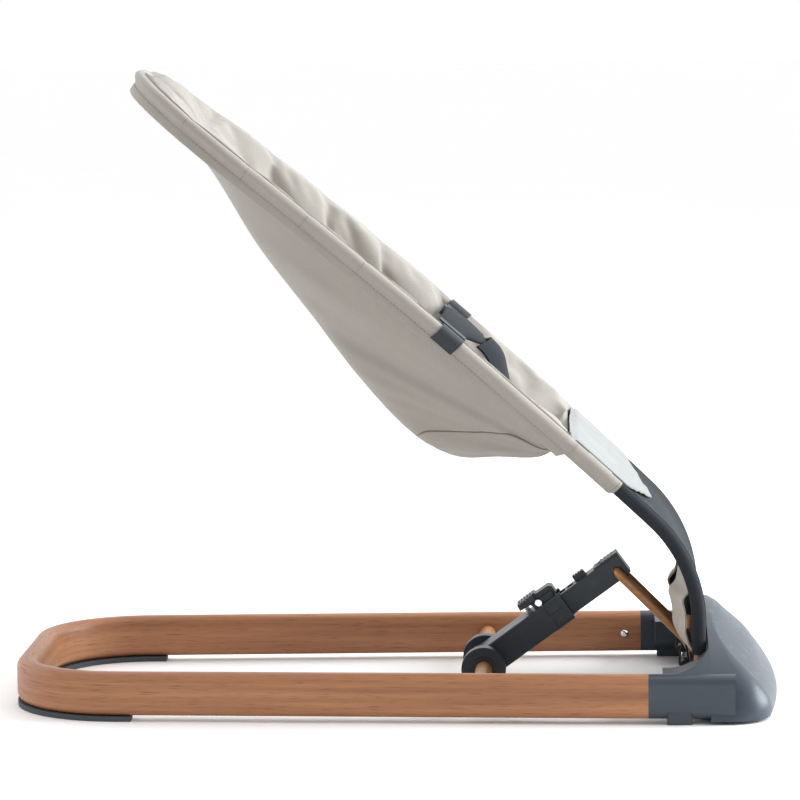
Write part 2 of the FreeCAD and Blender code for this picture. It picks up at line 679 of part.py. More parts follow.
def half_width(s):
    """Half width of the frame at its tube's centre: round head, then nearly straight sides."""
    if s < HEAD_LENGTH:
        share = (HEAD_LENGTH - s) / HEAD_LENGTH
        return HALF_WIDTHS[0][1] * math.sqrt(max(0.0, 1 - share * share))
    for (s0, w0), (s1, w1) in zip(HALF_WIDTHS, HALF_WIDTHS[1:]):
        if s <= s1:
            return w0 + (w1 - w0) * (s - s0) / (s1 - s0)
    return HALF_WIDTHS[-1][1]


def frame_route(end_z):
    """The seat frame's line, from the lower left end round the head to the lower right end."""
    head = [HEAD_LENGTH * (1 - math.cos(math.radians(a))) for a in (12, 33, 54, 75)]
    sides = [215.0, 300.0, 390.0, 480.0, 572.0, 640.0, 676.0, 708.0, 740.0, 772.0, bottom_s(end_z)]
    left = []
    for s in head + sides:
        x, z, _ = profile_point(s)
        left.append(V(x, half_width(s), z))
    right = [V(p.x, -p.y, p.z) for p in left]
    points = list(reversed(left)) + right
    return rounded_wire(points, smooth_radii(points))


def seat_frame_tube():
    wire = frame_route(FRAME_JOINT_Z + 0.6)
    return swept_round(wire, TUBE_RADIUS).cut(swept_round(wire, TUBE_RADIUS - TUBE_WALL))


def frame_sleeve():
    """Fabric casing sewn round the frame tube."""
    wire = frame_route(FRAME_JOINT_Z + 2.0)
    inner = TUBE_RADIUS + SLEEVE_GAP
    return swept_round(wire, inner + SLEEVE_THICKNESS).cut(swept_round(wire, inner))


# ---------------------------------------------------------------- sewn cover
def sling_points(station, lift):
    """Edge, seam and middle of the cover at one station, lifted inwards from its outside."""
    x, drop, seam_half, rise = station
    s = profile_s(x)
    z_frame = profile_point(s)[1]
    edge = (half_width(s) - 0.9 * lift, z_frame - 11.2)
    seam = (seam_half - 0.8 * lift, z_frame - drop + rise + 0.7 * lift)
    middle = (0.0, z_frame - drop + lift)
    return x, edge, seam, middle


def sling_loft(pick, low, high):
    """A panel of the cover between two lifts; pick chooses its corners at each station."""
    wires = []
    for station in SLING_STATIONS:
        x, *outside = sling_points(station, low)
        inside = sling_points(station, high)[1:]
        corners = pick(outside) + list(reversed(pick(inside)))
        wires.append(polygon([V(x, y, z) for y, z in corners]))
    return Part.makeLoft(wires, True, True)


def side_corners(points):
    edge, seam, _ = points
    return [edge, seam]


def middle_corners(points):
    _, (y, z), middle = points
    return [(y, z), middle, (-y, z)]


def sling_side():
    return sling_loft(side_corners, 0.0, SLING_THICKNESS)


def sling_middle(x_low, x_high):
    whole = sling_loft(middle_corners, 0.0, SLING_THICKNESS)
    return whole.common(box((x_low, x_high), (-200, 200), (0, 700)))


def quilted_pad():
    """Padded inner face of the back and seat."""
    wires = []
    low = SLING_THICKNESS + 0.8
    for station in SLING_STATIONS:
        x, edge, seam, middle = sling_points(station, low)
        top_seam, top_middle = sling_points(station, low + PAD_THICKNESS)[2:]
        side = half_width(profile_s(x)) - TUBE_RADIUS - 3.0
        seam_y = min(seam[0], side - 8)
        top_y = min(top_seam[0], side - 14)
        outline = [(side, edge[1] + 0.6), (seam_y, seam[1] + 0.6), middle,
                   (-seam_y, seam[1] + 0.6), (-side, edge[1] + 0.6), (-side + 5, edge[1] + 8.0),
                   (-top_y, max(top_seam[1], seam[1] + 7)), top_middle,
                   (top_y, max(top_seam[1], seam[1] + 7)), (side - 5, edge[1] + 8.0)]
        wires.append(polygon([V(x, y, z) for y, z in outline]))
    return Part.makeLoft(wires, True, True)


def frame_panel(s_values):
    """A flat cloth panel between the tubes, following the side profile."""
    side_gap = TUBE_RADIUS + SLEEVE_GAP + SLEEVE_THICKNESS + 0.6
    wires = []
    for s in s_values:
        x, z, angle = profile_point(s)
        inward = V(-math.sin(angle), 0, -math.cos(angle))
        low = V(x, 0, z)
        high = low + inward * SHEET_THICKNESS
        side = V(0, half_width(s) - side_gap, 0)
        wires.append(polygon([low - side, low + side, high + side, high - side]))
    return Part.makeLoft(wires, True, True)


def thigh_panel():
    start = profile_s(SLING_STATIONS[-1][0]) + 3
    return frame_panel([start, start + 30, 612.0])


def leg_panel():
    stations = [614.0, 659.0, 688.0, 716.0, 744.0, 772.0, bottom_s(FRAME_JOINT_Z + 2.0)]
    return frame_panel(stations)


def lower_flap():
    """Cloth flap that hangs behind the leg panel, beside the bail."""
    outer = [(275.5, 128.0), (275.0, 114.0), (267.0, 105.0), (271.5, 89.0), (272.0, 71.0),
             (278.5, 60.0), (283.0, 54.0)]
    inner = [(x + 2.6, z + 1.0) for x, z in reversed(outer)]
    return plate_xz(outer + inner, (33.0, 104.0))


def elastic_loop():
    """Elastic cord loop from the flap to its peg."""
    x, y, z = PEG_CENTRE.x, PEG_CENTRE.y, PEG_CENTRE.z
    reach = PEG_RADIUS + ELASTIC_RADIUS + 0.2
    points = [V(x - 1.0, y, z + 19.0), V(x - reach, y, z + 6.0), V(x - reach, y, z - reach),
              V(x + reach, y, z - reach), V(x + reach, y, z + 6.0), V(x + 2.4, y, z + 19.0)]
    return swept_round(rounded_wire(points, [9.0, reach - 0.1, reach - 0.1, 9.0]), ELASTIC_RADIUS)


# ---------------------------------------------------------------- harness
HARNESS_X = 55.0
STRAP_WIDTH = 25.0
BUCKLE_Y = 82.0


def harness_frame(shape):
    """From axes lying in the seat's plane at the harness to its place."""
    x, z, angle = profile_point(profile_s(HARNESS_X))
    placed = shape.copy()
    placed.rotate(V(0, 0, 0), V(0, 1, 0), math.degrees(angle))
    placed.translate(V(x, 0, z))
    return placed


def strap_loop():
    """Webbing sewn round the frame where the harness starts."""
    y = half_width(profile_s(HARNESS_X))
    outer = TUBE_RADIUS + SLEEVE_GAP + SLEEVE_THICKNESS + 2.0
    start, end = V(-STRAP_WIDTH / 2, y, 0), V(STRAP_WIDTH / 2, y, 0)
    ring = tube(start, end, outer, outer - 1.6)
    tail = box((-STRAP_WIDTH / 2, STRAP_WIDTH / 2), (y - 20, y - outer + 0.8), (-0.8, 0.8))
    clear = rod(start - V(1, 0, 0), end + V(1, 0, 0), outer - 1.6)
    return harness_frame(ring.fuse(tail.cut(clear)))


def side_strap():
    y = half_width(profile_s(HARNESS_X))
    return harness_frame(box((-STRAP_WIDTH / 2, STRAP_WIDTH / 2), (BUCKLE_Y + 23.2, y - 20.4),
                             (-0.8, 0.8)))


def buckle_plug():
    """Two-pronged plug with its strap bar."""
    bar = box((-16, 16), (BUCKLE_Y + 9, BUCKLE_Y + 23), (-3.2, 3.2))
    window = box((-13, 13), (BUCKLE_Y + 15.5, BUCKLE_Y + 19.5), (-4, 4))
    prongs = [box((x, x + 4), (BUCKLE_Y - 6, BUCKLE_Y + 10), (-2.2, 2.2)) for x in (-11.5, 7.5)]
    return harness_frame(bar.cut(window).fuse(prongs).removeSplitter())


def buckle_socket():
    """Open-sided receiver that the plug snaps in."""
    body = box((-16, 16), (BUCKLE_Y - 16, BUCKLE_Y + 8.6), (-4.8, 4.8))
    hollow = box((-12.6, 12.6), (BUCKLE_Y - 8, BUCKLE_Y + 10), (-2.8, 2.8))
    return harness_frame(body.cut(hollow))


def belly_panel():
    """Padded bridge between the two buckles, over the child's lap."""
    outline = [V(-16, -64, 0), V(-16, 64, 0), V(14, 64, 0), V(32, 34, 0), V(36, 0, 0),
               V(32, -34, 0), V(14, -64, 0)]
    face = Part.Face(polygon(outline))
    face.translate(V(0, 0, -2.4))
    return harness_frame(face.extrude(V(0, 0, 4.8)))


def crotch_panel():
    """Panel that comes up between the legs to the belly panel."""
    outer = [(96.5, 338.5), (104.5, 331.0), (109.5, 312.0), (113.0, 285.0), (116.0, 252.0)]
    inner = [(x - 3.4, z - 1.6) for x, z in reversed(outer)]
    return plate_xz(outer + inner, (-30.0, 30.0))


# ---------------------------------------------------------------- build
def main():
    os.makedirs("parts", exist_ok=True)
    write("base_tube", base_tube())
    write_pair("rear_foot_pad", rear_foot_pad().cut(pad_screws()))
    write("rear_pad_screws", both_sides(pad_screws()))
    write("cross_tube", cross_tube())
    write("rail_screws", both_sides(rail_screw()))
    write("rail_inserts", both_sides(rail_insert()))
    write("front_housing", front_housing())
    write("housing_base_plate", base_plate())
    write("base_plate_screws", plate_screws())
    write_pair("front_grip_pad", front_grip_pad())
    write("nose_pads", nose_pads())
    write_pair("hinge_bearing", hinge_bearing())
    write("bearing_screws", bearing_screws())
    write_pair("flap_peg", flap_peg())

    write("pivot_crossbar", pivot_crossbar())
    write("crossbar_clips", crossbar_clips())
    write_pair("frame_leg", frame_leg())
    write("bail_rod", bail_rod())

    write("lower_arm", lower_arm())
    write("arm_collar", arm_collar())
    write_pair("hub_bush", hub_bush())
    write("latch_pin", latch_pin())
    write("latch_spring", latch_spring())
    write("latch_lever", latch_lever())
    write("upper_arm", upper_arm())
    write("end_clip", end_clip())
    write("end_clip_screw", end_clip_screw())
    write("stop_button", stop_button())
    write("stop_spring", stop_spring())

    write("seat_frame_tube", seat_frame_tube())
    write("frame_sleeve", frame_sleeve())
    write("sling_back", sling_middle(-230.0, 27.0))
    write("seat_bottom_panel", sling_middle(27.0, 170.0))
    write_pair("sling_side", sling_side())
    write("quilted_pad", quilted_pad())
    write("thigh_panel", thigh_panel())
    write("leg_panel", leg_panel())
    write_pair("lower_flap", lower_flap())
    write_pair("elastic_loop", elastic_loop())
    write_pair("strap_loop", strap_loop())
    write_pair("side_strap", side_strap())
    write_pair("buckle_plug", buckle_plug())
    write_pair("buckle_socket", buckle_socket())
    write("belly_panel", belly_panel())
    write("crotch_panel", crotch_panel())


main()
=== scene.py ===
"""Looks of a baby bouncer seat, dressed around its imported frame.

Lengths are metres, +Z is up and +X points towards the foot end.
"""

import json
import logging
import math
from dataclasses import dataclass, field
from enum import Enum
from typing import Callable, Sequence

import bmesh
import bpy
from mathutils import Matrix, Vector, noise


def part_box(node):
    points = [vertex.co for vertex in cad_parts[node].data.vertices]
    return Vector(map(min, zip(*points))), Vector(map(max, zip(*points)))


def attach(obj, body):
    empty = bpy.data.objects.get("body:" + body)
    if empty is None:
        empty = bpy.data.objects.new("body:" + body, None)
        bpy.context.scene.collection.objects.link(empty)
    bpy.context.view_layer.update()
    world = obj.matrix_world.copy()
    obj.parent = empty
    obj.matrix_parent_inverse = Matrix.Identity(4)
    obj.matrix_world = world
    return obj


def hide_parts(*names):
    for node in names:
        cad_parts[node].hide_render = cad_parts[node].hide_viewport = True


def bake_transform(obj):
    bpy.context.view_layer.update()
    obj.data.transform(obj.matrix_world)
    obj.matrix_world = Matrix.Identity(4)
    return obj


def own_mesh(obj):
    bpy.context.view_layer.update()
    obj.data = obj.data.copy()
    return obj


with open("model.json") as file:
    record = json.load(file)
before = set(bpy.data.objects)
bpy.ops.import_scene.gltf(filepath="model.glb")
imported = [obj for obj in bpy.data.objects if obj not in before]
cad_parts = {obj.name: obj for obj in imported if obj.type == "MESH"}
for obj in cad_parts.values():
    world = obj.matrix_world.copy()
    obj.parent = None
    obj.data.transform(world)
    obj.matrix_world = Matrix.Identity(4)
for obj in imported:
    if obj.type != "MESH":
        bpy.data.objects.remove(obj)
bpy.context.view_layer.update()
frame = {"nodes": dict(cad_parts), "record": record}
LOG = logging.getLogger("bouncer")
Colour = tuple[float, float, float]
Place = Callable[[float, float], Vector]


class Body(str, Enum):
    """The moving bodies of the frame."""

    BASE = "base"
    RECLINE = "recline_frame"
    LOWER_ARM = "lower_arm"
    UPPER_ARM = "upper_arm"
    LATCH = "latch"
    STOP = "stop_button"
    SEAT = "seat"


class Slot(str, Enum):
    """The record's material slots."""

    WOOD = "wood_tube"
    SLATE = "slate_plastic"
    DARK = "dark_plastic"
    RUBBER = "rubber"
    COPPER = "copper_tube"
    STEEL = "steel"
    CHROME = "chrome"
    BRASS = "brass"
    ACETAL = "acetal"
    TAUPE = "taupe_fabric"
    GREY = "grey_fabric"
    BEIGE = "beige_fabric"
    ANTHRACITE = "anthracite_fabric"
    WEBBING = "webbing"
    ELASTIC = "elastic"


# ---------------------------------------------------------------- small helpers
def blend_step(low: float, high: float, value: float) -> float:
    """Smooth step from 0 at low to 1 at high."""
    share = min(1.0, max(0.0, (value - low) / (high - low)))
    return share * share * (3 - 2 * share)


def along_table(table: Sequence[tuple[float, ...]], key: float, column: int) -> float:
    """Smoothly interpolated value of a table's column.

    Args:
        table: rows sorted by their first entry.
        key: where to read, in the units of the first entry.
        column: which entry to read.

    Returns:
        The Catmull-Rom value, clamped to the table's ends.
    """
    if key <= table[0][0]:
        return table[0][column]
    if key >= table[-1][0]:
        return table[-1][column]
    index = max(i for i, row in enumerate(table) if row[0] <= key)
    rows = [table[min(len(table) - 1, max(0, index + k))] for k in (-1, 0, 1, 2)]
    t = (key - rows[1][0]) / (rows[2][0] - rows[1][0])
    span = rows[2][0] - rows[1][0]
    slopes = []
    for a, b in ((0, 2), (1, 3)):
        gap = rows[b][0] - rows[a][0]
        slopes.append((rows[b][column] - rows[a][column]) / gap * span)
    p0, p1 = rows[1][column], rows[2][column]
    cube = (2 * p0 - 2 * p1 + slopes[0] + slopes[1]) * t ** 3
    square = (-3 * p0 + 3 * p1 - 2 * slopes[0] - slopes[1]) * t ** 2
    return cube + square + slopes[0] * t + p0


def rounded_run(points: Sequence[Vector], share: float, softness: float) -> Vector:
    """A point on a polyline whose corners are rounded off.

    Args:
        points: the polyline.
        share: position along it from 0 to 1, by length.
        softness: half window of the rounding, as a share of the length.

    Returns:
        The mean of the polyline over the window around share.
    """
    lengths = [0.0]
    for a, b in zip(points, points[1:]):
        lengths.append(lengths[-1] + (b - a).length)
    total = lengths[-1]

    def at(value: float) -> Vector:
        """Point of the sharp polyline."""
        target = min(1.0, max(0.0, value)) * total
        for i, (a, b) in enumerate(zip(points, points[1:])):
            if target <= lengths[i + 1] or i == len(points) - 2:
                run = max(1e-9, lengths[i + 1] - lengths[i])
                return a.lerp(b, (target - lengths[i]) / run)
        return points[-1].copy()

    reach = min(softness, share, 1 - share)
    steps = 6
    total_point = Vector((0, 0, 0))
    for k in range(-steps, steps + 1):
        total_point += at(share + reach * k / steps)
    return total_point / (2 * steps + 1)


class Piece:
    """Builds one named mesh piece by operators."""

    def __init__(self, name: str) -> None:
        """Starts an empty mesh.

        Args:
            name: the piece's name.
        """
        self.name = name
        self.bm = bmesh.new()
        self.uv = self.bm.loops.layers.uv.new("UVMap")

    def surface(self, across: int, along: int, place: Place, size: tuple[float, float],
                wrap: bool = False) -> "Piece":
        """Adds a grid whose points are placed by a function of two shares.

        Args:
            across: faces in u.
            along: faces in v.
            place: gives the point for (u, v), each 0 to 1.
            size: the real length of u and of v, for the weave's scale.
            wrap: joins the edges where u is 0 and 1.

        Returns:
            This piece.
        """
        old = set(self.bm.verts)
        bmesh.ops.create_grid(self.bm, x_segments=across, y_segments=along, size=1.0)
        verts = [v for v in self.bm.verts if v not in old]
        low = Vector((min(v.co.x for v in verts), min(v.co.y for v in verts), 0))
        high = Vector((max(v.co.x for v in verts), max(v.co.y for v in verts), 0))
        shares = {}
        for vert in verts:
            u = (vert.co.x - low.x) / (high.x - low.x)
            v = (vert.co.y - low.y) / (high.y - low.y)
            shares[vert] = (u, v)
        faces = {f for v in verts for f in v.link_faces}
        for face in faces:
            for loop in face.loops:
                u, v = shares[loop.vert]
                loop[self.uv].uv = (u * size[0], v * size[1])
        for vert, (u, v) in shares.items():
            vert.co = place(u, v)
        if wrap:
            bmesh.ops.remove_doubles(self.bm, verts=verts, dist=1e-6)
        return self

    def close(self) -> "Piece":
        """Fills open rims and turns every face outwards."""
        rims = [e for e in self.bm.edges if e.is_boundary]
        if rims:
            bmesh.ops.holes_fill(self.bm, edges=rims, sides=0)
        return self.outward()

    def outward(self) -> "Piece":
        """Turns every face outwards."""
        bmesh.ops.recalc_face_normals(self.bm, faces=self.bm.faces[:])
        return self

    def finish(self, body: Body, slot: Slot, finish: bpy.types.Material,
               replaces: Sequence[str] = (), smooth: float = 40.0,
               ride: bool = True) -> bpy.types.Object:
        """Makes the object, dresses it and lets it ride on its body.

        Args:
            body: the body it moves with.
            slot: the record's material slot; not used.
            finish: its material.
            replaces: CAD nodes that it stands for.
            smooth: edges sharper than this many degrees stay crisp.
            ride: False for a piece that blends across a joint instead.

        Returns:
            The finished object.
        """
        data = bpy.data.meshes.new(self.name)
        limit = math.radians(smooth)
        for edge in self.bm.edges:
            edge.smooth = len(edge.link_faces) != 2 or edge.calc_face_angle(0.0) < limit
        for face in self.bm.faces:
            face.smooth = True
        self.bm.to_mesh(data)
        self.bm.free()
        made = bpy.data.objects.new(self.name, data)
        bpy.context.scene.collection.objects.link(made)
        data.materials.append(finish)
        if ride:
            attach(made, body.value)
        if replaces:
            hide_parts(*replaces)
        LOG.info("made %s with %d faces", self.name, len(data.polygons))
        return made


# ---------------------------------------------------------------- node graphs
class Graph:
    """A node tree being wired."""

    def __init__(self, tree: bpy.types.NodeTree) -> None:
        """Keeps the tree.

        Args:
            tree: a material's or a group's node tree.
        """
        self.tree = tree

    def add(self, kind: str, **settings: object) -> bpy.types.Node:
        """Adds a node.

        Args:
            kind: the node's type name.
            settings: its properties.

        Returns:
            The node.
        """
        node = self.tree.nodes.new(kind)
        for key, value in settings.items():
            setattr(node, key, value)
        return node

    def link(self, source: bpy.types.NodeSocket, target: bpy.types.NodeSocket) -> None:
        """Joins two sockets."""
        self.tree.links.new(source, target)

    def feed(self, socket: bpy.types.NodeSocket, value: object) -> None:
        """Sets a socket from a number, a colour or another socket."""
        if isinstance(value, bpy.types.NodeSocket):
            self.link(value, socket)
        else:
            socket.default_value = value

    def math(self, operation: str, *values: object) -> bpy.types.NodeSocket:
        """Adds a Math node.

        Args:
            operation: such as MULTIPLY.
            values: numbers or sockets.

        Returns:
            Its output.
        """
        node = self.add("ShaderNodeMath", operation=operation)
        for socket, value in zip(node.inputs, values):
            self.feed(socket, value)
        return node.outputs[0]

    def noise(self, vector: bpy.types.NodeSocket, scale: float, detail: float = 2.0,
              stretch: tuple[float, float, float] = (1, 1, 1)) -> bpy.types.NodeSocket:
        """Adds a Noise texture over stretched coordinates.

        Args:
            vector: the coordinates.
            scale: waves per metre.
            detail: octaves.
            stretch: factors on the coordinates.

        Returns:
            The noise value.
        """
        mapping = self.add("ShaderNodeMapping")
        self.link(vector, mapping.inputs["Vector"])
        mapping.inputs["Scale"].default_value = stretch
        node = self.add("ShaderNodeTexNoise")
        self.link(mapping.outputs[0], node.inputs["Vector"])
        node.inputs["Scale"].default_value = scale
        node.inputs["Detail"].default_value = detail
        return node.outputs["Fac"]

    def ramp(self, value: bpy.types.NodeSocket, low: float, high: float) -> bpy.types.NodeSocket:
        """Maps a value from low..high to 0..1, clamped."""
        node = self.add("ShaderNodeMapRange", clamp=True)
        self.link(value, node.inputs["Value"])
        node.inputs["From Min"].default_value = low
        node.inputs["From Max"].default_value = high
        return node.outputs[0]

    def mix(self, factor: object, first: object, second: object) -> bpy.types.NodeSocket:
        """Mixes two colours."""
        node = self.add("ShaderNodeMix", data_type="RGBA")
        self.feed(node.inputs["Factor"], factor)
        self.feed(node.inputs[6], first if not isinstance(first, tuple) else (*first, 1))
        self.feed(node.inputs[7], second if not isinstance(second, tuple) else (*second, 1))
        return node.outputs[2]


def new_group(name: str, inputs: Sequence[tuple[str, str, float]],
              outputs: Sequence[str]) -> tuple[Graph, bpy.types.Node, bpy.types.Node]:
    """Starts a shader node group.

    Args:
        name: the group's name.
        inputs: (name, socket type, default) of each input.
        outputs: names of its float outputs.

    Returns:
        Its graph, its input node and its output node.
    """
    tree = bpy.data.node_groups.new(name, "ShaderNodeTree")
    for label, kind, default in inputs:
        made = tree.interface.new_socket(label, in_out="INPUT", socket_type=kind)
        if kind == "NodeSocketFloat":
            made.default_value = default
    for label in outputs:
        tree.interface.new_socket(label, in_out="OUTPUT", socket_type="NodeSocketFloat")
    graph = Graph(tree)
    return graph, graph.add("NodeGroupInput"), graph.add("NodeGroupOutput")


def weave_group() -> bpy.types.NodeTree:
    """Plain weave: threads over and under each other, with slubs.

    Returns:
        The node group.
    """
    graph, source, sink = new_group(
        "plain_weave", [("Vector", "NodeSocketVector", 0), ("Pitch", "NodeSocketFloat", 0.0009)],
        ["Threads", "Tone"])
    split = graph.add("ShaderNodeSeparateXYZ")
    graph.link(source.outputs["Vector"], split.inputs[0])
    turn = graph.math("DIVIDE", math.pi, source.outputs["Pitch"])
    waves = []
    for axis in (0, 1):
        phase = graph.math("MULTIPLY", split.outputs[axis], turn)
        waves.append(graph.math("SINE", phase))
    checker = graph.math("MULTIPLY", waves[0], waves[1])
    graph.link(graph.ramp(checker, -1.0, 1.0), sink.inputs["Threads"])
    slubs = []
    for stretch in ((30, 900, 1), (900, 30, 1)):
        slubs.append(graph.noise(source.outputs["Vector"], 1.0, 1.0, stretch))
    tone = graph.math("MULTIPLY_ADD", graph.math("ADD", slubs[0], slubs[1]), 0.5, 0.0)
    graph.link(tone, sink.inputs["Tone"])
    return graph.tree


def crumple_group() -> bpy.types.NodeTree:
    """Soft creases and uneven colour of sewn cloth.

    Returns:
        The node group.
    """
    graph, source, sink = new_group("cloth_crumple", [("Vector", "NodeSocketVector", 0)],
                                    ["Height", "Fade"])
    broad = graph.noise(source.outputs["Vector"], 9.0, 3.0)
    fine = graph.noise(source.outputs["Vector"], 55.0, 3.0, (1, 1.6, 1))
    graph.link(graph.math("MULTIPLY_ADD", fine, 0.25, broad), sink.inputs["Height"])
    graph.link(graph.noise(source.outputs["Vector"], 5.0, 2.0), sink.inputs["Fade"])
    return graph.tree


def wood_group() -> bpy.types.NodeTree:
    """Long-grained wood print: soft streaks, dark pores and broad bands.

    Returns:
        The node group.
    """
    graph, source, sink = new_group("wood_grain", [("Vector", "NodeSocketVector", 0)],
                                    ["Tone", "Pores"])
    vector = source.outputs["Vector"]
    streaks = graph.noise(vector, 1.0, 4.0, (5.0, 190.0, 1.0))
    bands = graph.noise(vector, 1.0, 2.0, (2.2, 55.0, 1.0))
    both = graph.math("MULTIPLY_ADD", bands, 0.9, graph.math("MULTIPLY", streaks, 0.7))
    graph.link(graph.ramp(both, 0.55, 1.05), sink.inputs["Tone"])
    pores = graph.noise(vector, 1.0, 2.0, (42.0, 950.0, 1.0))
    graph.link(graph.ramp(pores, 0.56, 0.72), sink.inputs["Pores"])
    return graph.tree


def mould_group() -> bpy.types.NodeTree:
    """Spark-eroded texture of moulded plastic, with faint flow marks and handling.

    Returns:
        The node group.
    """
    graph, source, sink = new_group("moulded_texture", [("Vector", "NodeSocketVector", 0)],
                                    ["Grain", "Rub", "Cloud"])
    vector = source.outputs["Vector"]
    graph.link(graph.noise(vector, 1500.0, 2.0), sink.inputs["Grain"])
    rub = graph.noise(vector, 60.0, 5.0, (1.0, 1.0, 2.2))
    graph.link(graph.ramp(rub, 0.55, 0.75), sink.inputs["Rub"])
    graph.link(graph.noise(vector, 14.0, 3.0), sink.inputs["Cloud"])
    return graph.tree


GROUPS: dict[str, bpy.types.NodeTree] = {}


def use_group(graph: Graph, name: str, vector: bpy.types.NodeSocket) -> bpy.types.Node:
    """Places one of the shared groups in a material.

    Args:
        graph: the material's graph.
        name: the group's name.
        vector: the coordinates it reads.

    Returns:
        The group node.
    """
    makers = {"plain_weave": weave_group, "cloth_crumple": crumple_group,
              "wood_grain": wood_group, "moulded_texture": mould_group}
    if name not in GROUPS:
        GROUPS[name] = makers[name]()
    node = graph.add("ShaderNodeGroup")
    node.node_tree = GROUPS[name]
    graph.link(vector, node.inputs["Vector"])
    return node


def start_material(name: str) -> tuple[bpy.types.Material, Graph, bpy.types.Node, bpy.types.Node]:
    """Starts a material with a Principled shader and a coordinate node.

    Args:
        name: the material's name.

    Returns:
        The material, its graph, the shader and the coordinates.
    """
    made = bpy.data.materials.new(name)
    made.use_nodes = True
    made.node_tree.nodes.clear()
    graph = Graph(made.node_tree)
    shader = graph.add("ShaderNodeBsdfPrincipled")
    output = graph.add("ShaderNodeOutputMaterial")
    graph.link(shader.outputs[0], output.inputs["Surface"])
    return made, graph, shader, graph.add("ShaderNodeTexCoord")


def bump(graph: Graph, shader: bpy.types.Node, height: bpy.types.NodeSocket, depth: float,
         strength: float = 1.0) -> None:
    """Feeds a height into the shader's normal.

    Args:
        graph: the material's graph.
        shader: its Principled shader.
        height: the height, 0 to 1.
        depth: what 1 stands for, in metres.
        strength: how much of it shows.
    """
    node = graph.add("ShaderNodeBump")
    graph.link(height, node.inputs["Height"])
    node.inputs["Distance"].default_value = depth
    node.inputs["Strength"].default_value = strength
    graph.link(node.outputs[0], shader.inputs["Normal"])


@dataclass(frozen=True)
class ClothFinish:
    """Woven cloth with creases and uneven dye."""

    name: str
    light: Colour
    dark: Colour
    pitch: float = 0.0009
    sheen: float = 0.25
    crease: float = 0.0012

    def build(self) -> bpy.types.Material:
        """Makes the material."""
        made, graph, shader, place = start_material(self.name)
        weave = use_group(graph, "plain_weave", place.outputs["UV"])
        weave.inputs["Pitch"].default_value = self.pitch
        crumple = use_group(graph, "cloth_crumple", place.outputs["Object"])
        tone = graph.math("MULTIPLY_ADD", weave.outputs["Tone"], 0.55, 0.0)
        tone = graph.math("MULTIPLY_ADD", crumple.outputs["Fade"], 0.45, tone)
        shade = graph.mix(graph.ramp(tone, 0.3, 0.7), self.dark, self.light)
        thread = graph.ramp(weave.outputs["Threads"], -0.6, 0.7)
        graph.link(graph.mix(thread, tuple(0.82 * c for c in self.dark), shade),
                   shader.inputs["Base Color"])
        shader.inputs["Roughness"].default_value = 0.88
        shader.inputs["Sheen Weight"].default_value = self.sheen
        shader.inputs["Sheen Roughness"].default_value = 0.5
        shader.inputs["Specular IOR Level"].default_value = 0.25
        height = graph.math("MULTIPLY", weave.outputs["Threads"], 0.12)
        height = graph.math("ADD", height, crumple.outputs["Height"])
        bump(graph, shader, height, self.crease)
        return made


@dataclass(frozen=True)
class WoodFinish:
    """Printed wood film on tube."""

    name: str
    light: Colour
    dark: Colour

    def build(self) -> bpy.types.Material:
        """Makes the material."""
        made, graph, shader, place = start_material(self.name)
        grain = use_group(graph, "wood_grain", place.outputs["UV"])
        shade = graph.mix(grain.outputs["Tone"], self.dark, self.light)
        pore = graph.math("MULTIPLY", grain.outputs["Pores"], 0.55)
        deep = tuple(0.42 * c for c in self.dark)
        graph.link(graph.mix(pore, shade, deep), shader.inputs["Base Color"])
        rough = graph.math("MULTIPLY_ADD", grain.outputs["Pores"], 0.15, 0.42)
        graph.link(rough, shader.inputs["Roughness"])
        shader.inputs["Specular IOR Level"].default_value = 0.35
        drop = graph.math("SUBTRACT", 1.0, grain.outputs["Pores"])
        bump(graph, shader, drop, 0.00008)
        return made


@dataclass(frozen=True)
class MouldedFinish:
    """Moulded plastic or rubber with a fine texture."""

    name: str
    light: Colour
    dark: Colour
    roughness: float = 0.5
    grain: float = 0.00006

    def build(self) -> bpy.types.Material:
        """Makes the material."""
        made, graph, shader, place = start_material(self.name)
        mould = use_group(graph, "moulded_texture", place.outputs["Object"])
        shade = graph.mix(mould.outputs["Cloud"], self.dark, self.light)
        worn = tuple(min(1.0, 1.25 * c + 0.01) for c in self.light)
        rub = graph.math("MULTIPLY", mould.outputs["Rub"], 0.25)
        graph.link(graph.mix(rub, shade, worn), shader.inputs["Base Color"])
        rough = graph.math("MULTIPLY_ADD", mould.outputs["Rub"], -0.08, self.roughness)
        graph.link(rough, shader.inputs["Roughness"])
        shader.inputs["Specular IOR Level"].default_value = 0.45
        bump(graph, shader, mould.outputs["Grain"], self.grain)
        return made


@dataclass(frozen=True)
class MetalFinish:
    """Plated, machined or lacquered metal."""

    name: str
    light: Colour
    dark: Colour
    roughness: float
    metallic: float = 1.0
    streak: tuple[float, float, float] = (300, 300, 300)
    coat: float = 0.0

    def build(self) -> bpy.types.Material:
        """Makes the material."""
        made, graph, shader, place = start_material(self.name)
        mould = use_group(graph, "moulded_texture", place.outputs["Object"])
        lines = graph.noise(place.outputs["Object"], 1.0, 3.0, self.streak)
        shade = graph.mix(graph.ramp(lines, 0.3, 0.7), self.dark, self.light)
        graph.link(shade, shader.inputs["Base Color"])
        shader.inputs["Metallic"].default_value = self.metallic
        shader.inputs["Coat Weight"].default_value = self.coat
        shader.inputs["Coat Roughness"].default_value = 0.3
        rough = graph.math("MULTIPLY_ADD", mould.outputs["Cloud"], 0.12, self.roughness)
        graph.link(rough, shader.inputs["Roughness"])
        bump(graph, shader, lines, 0.00002)
        return made


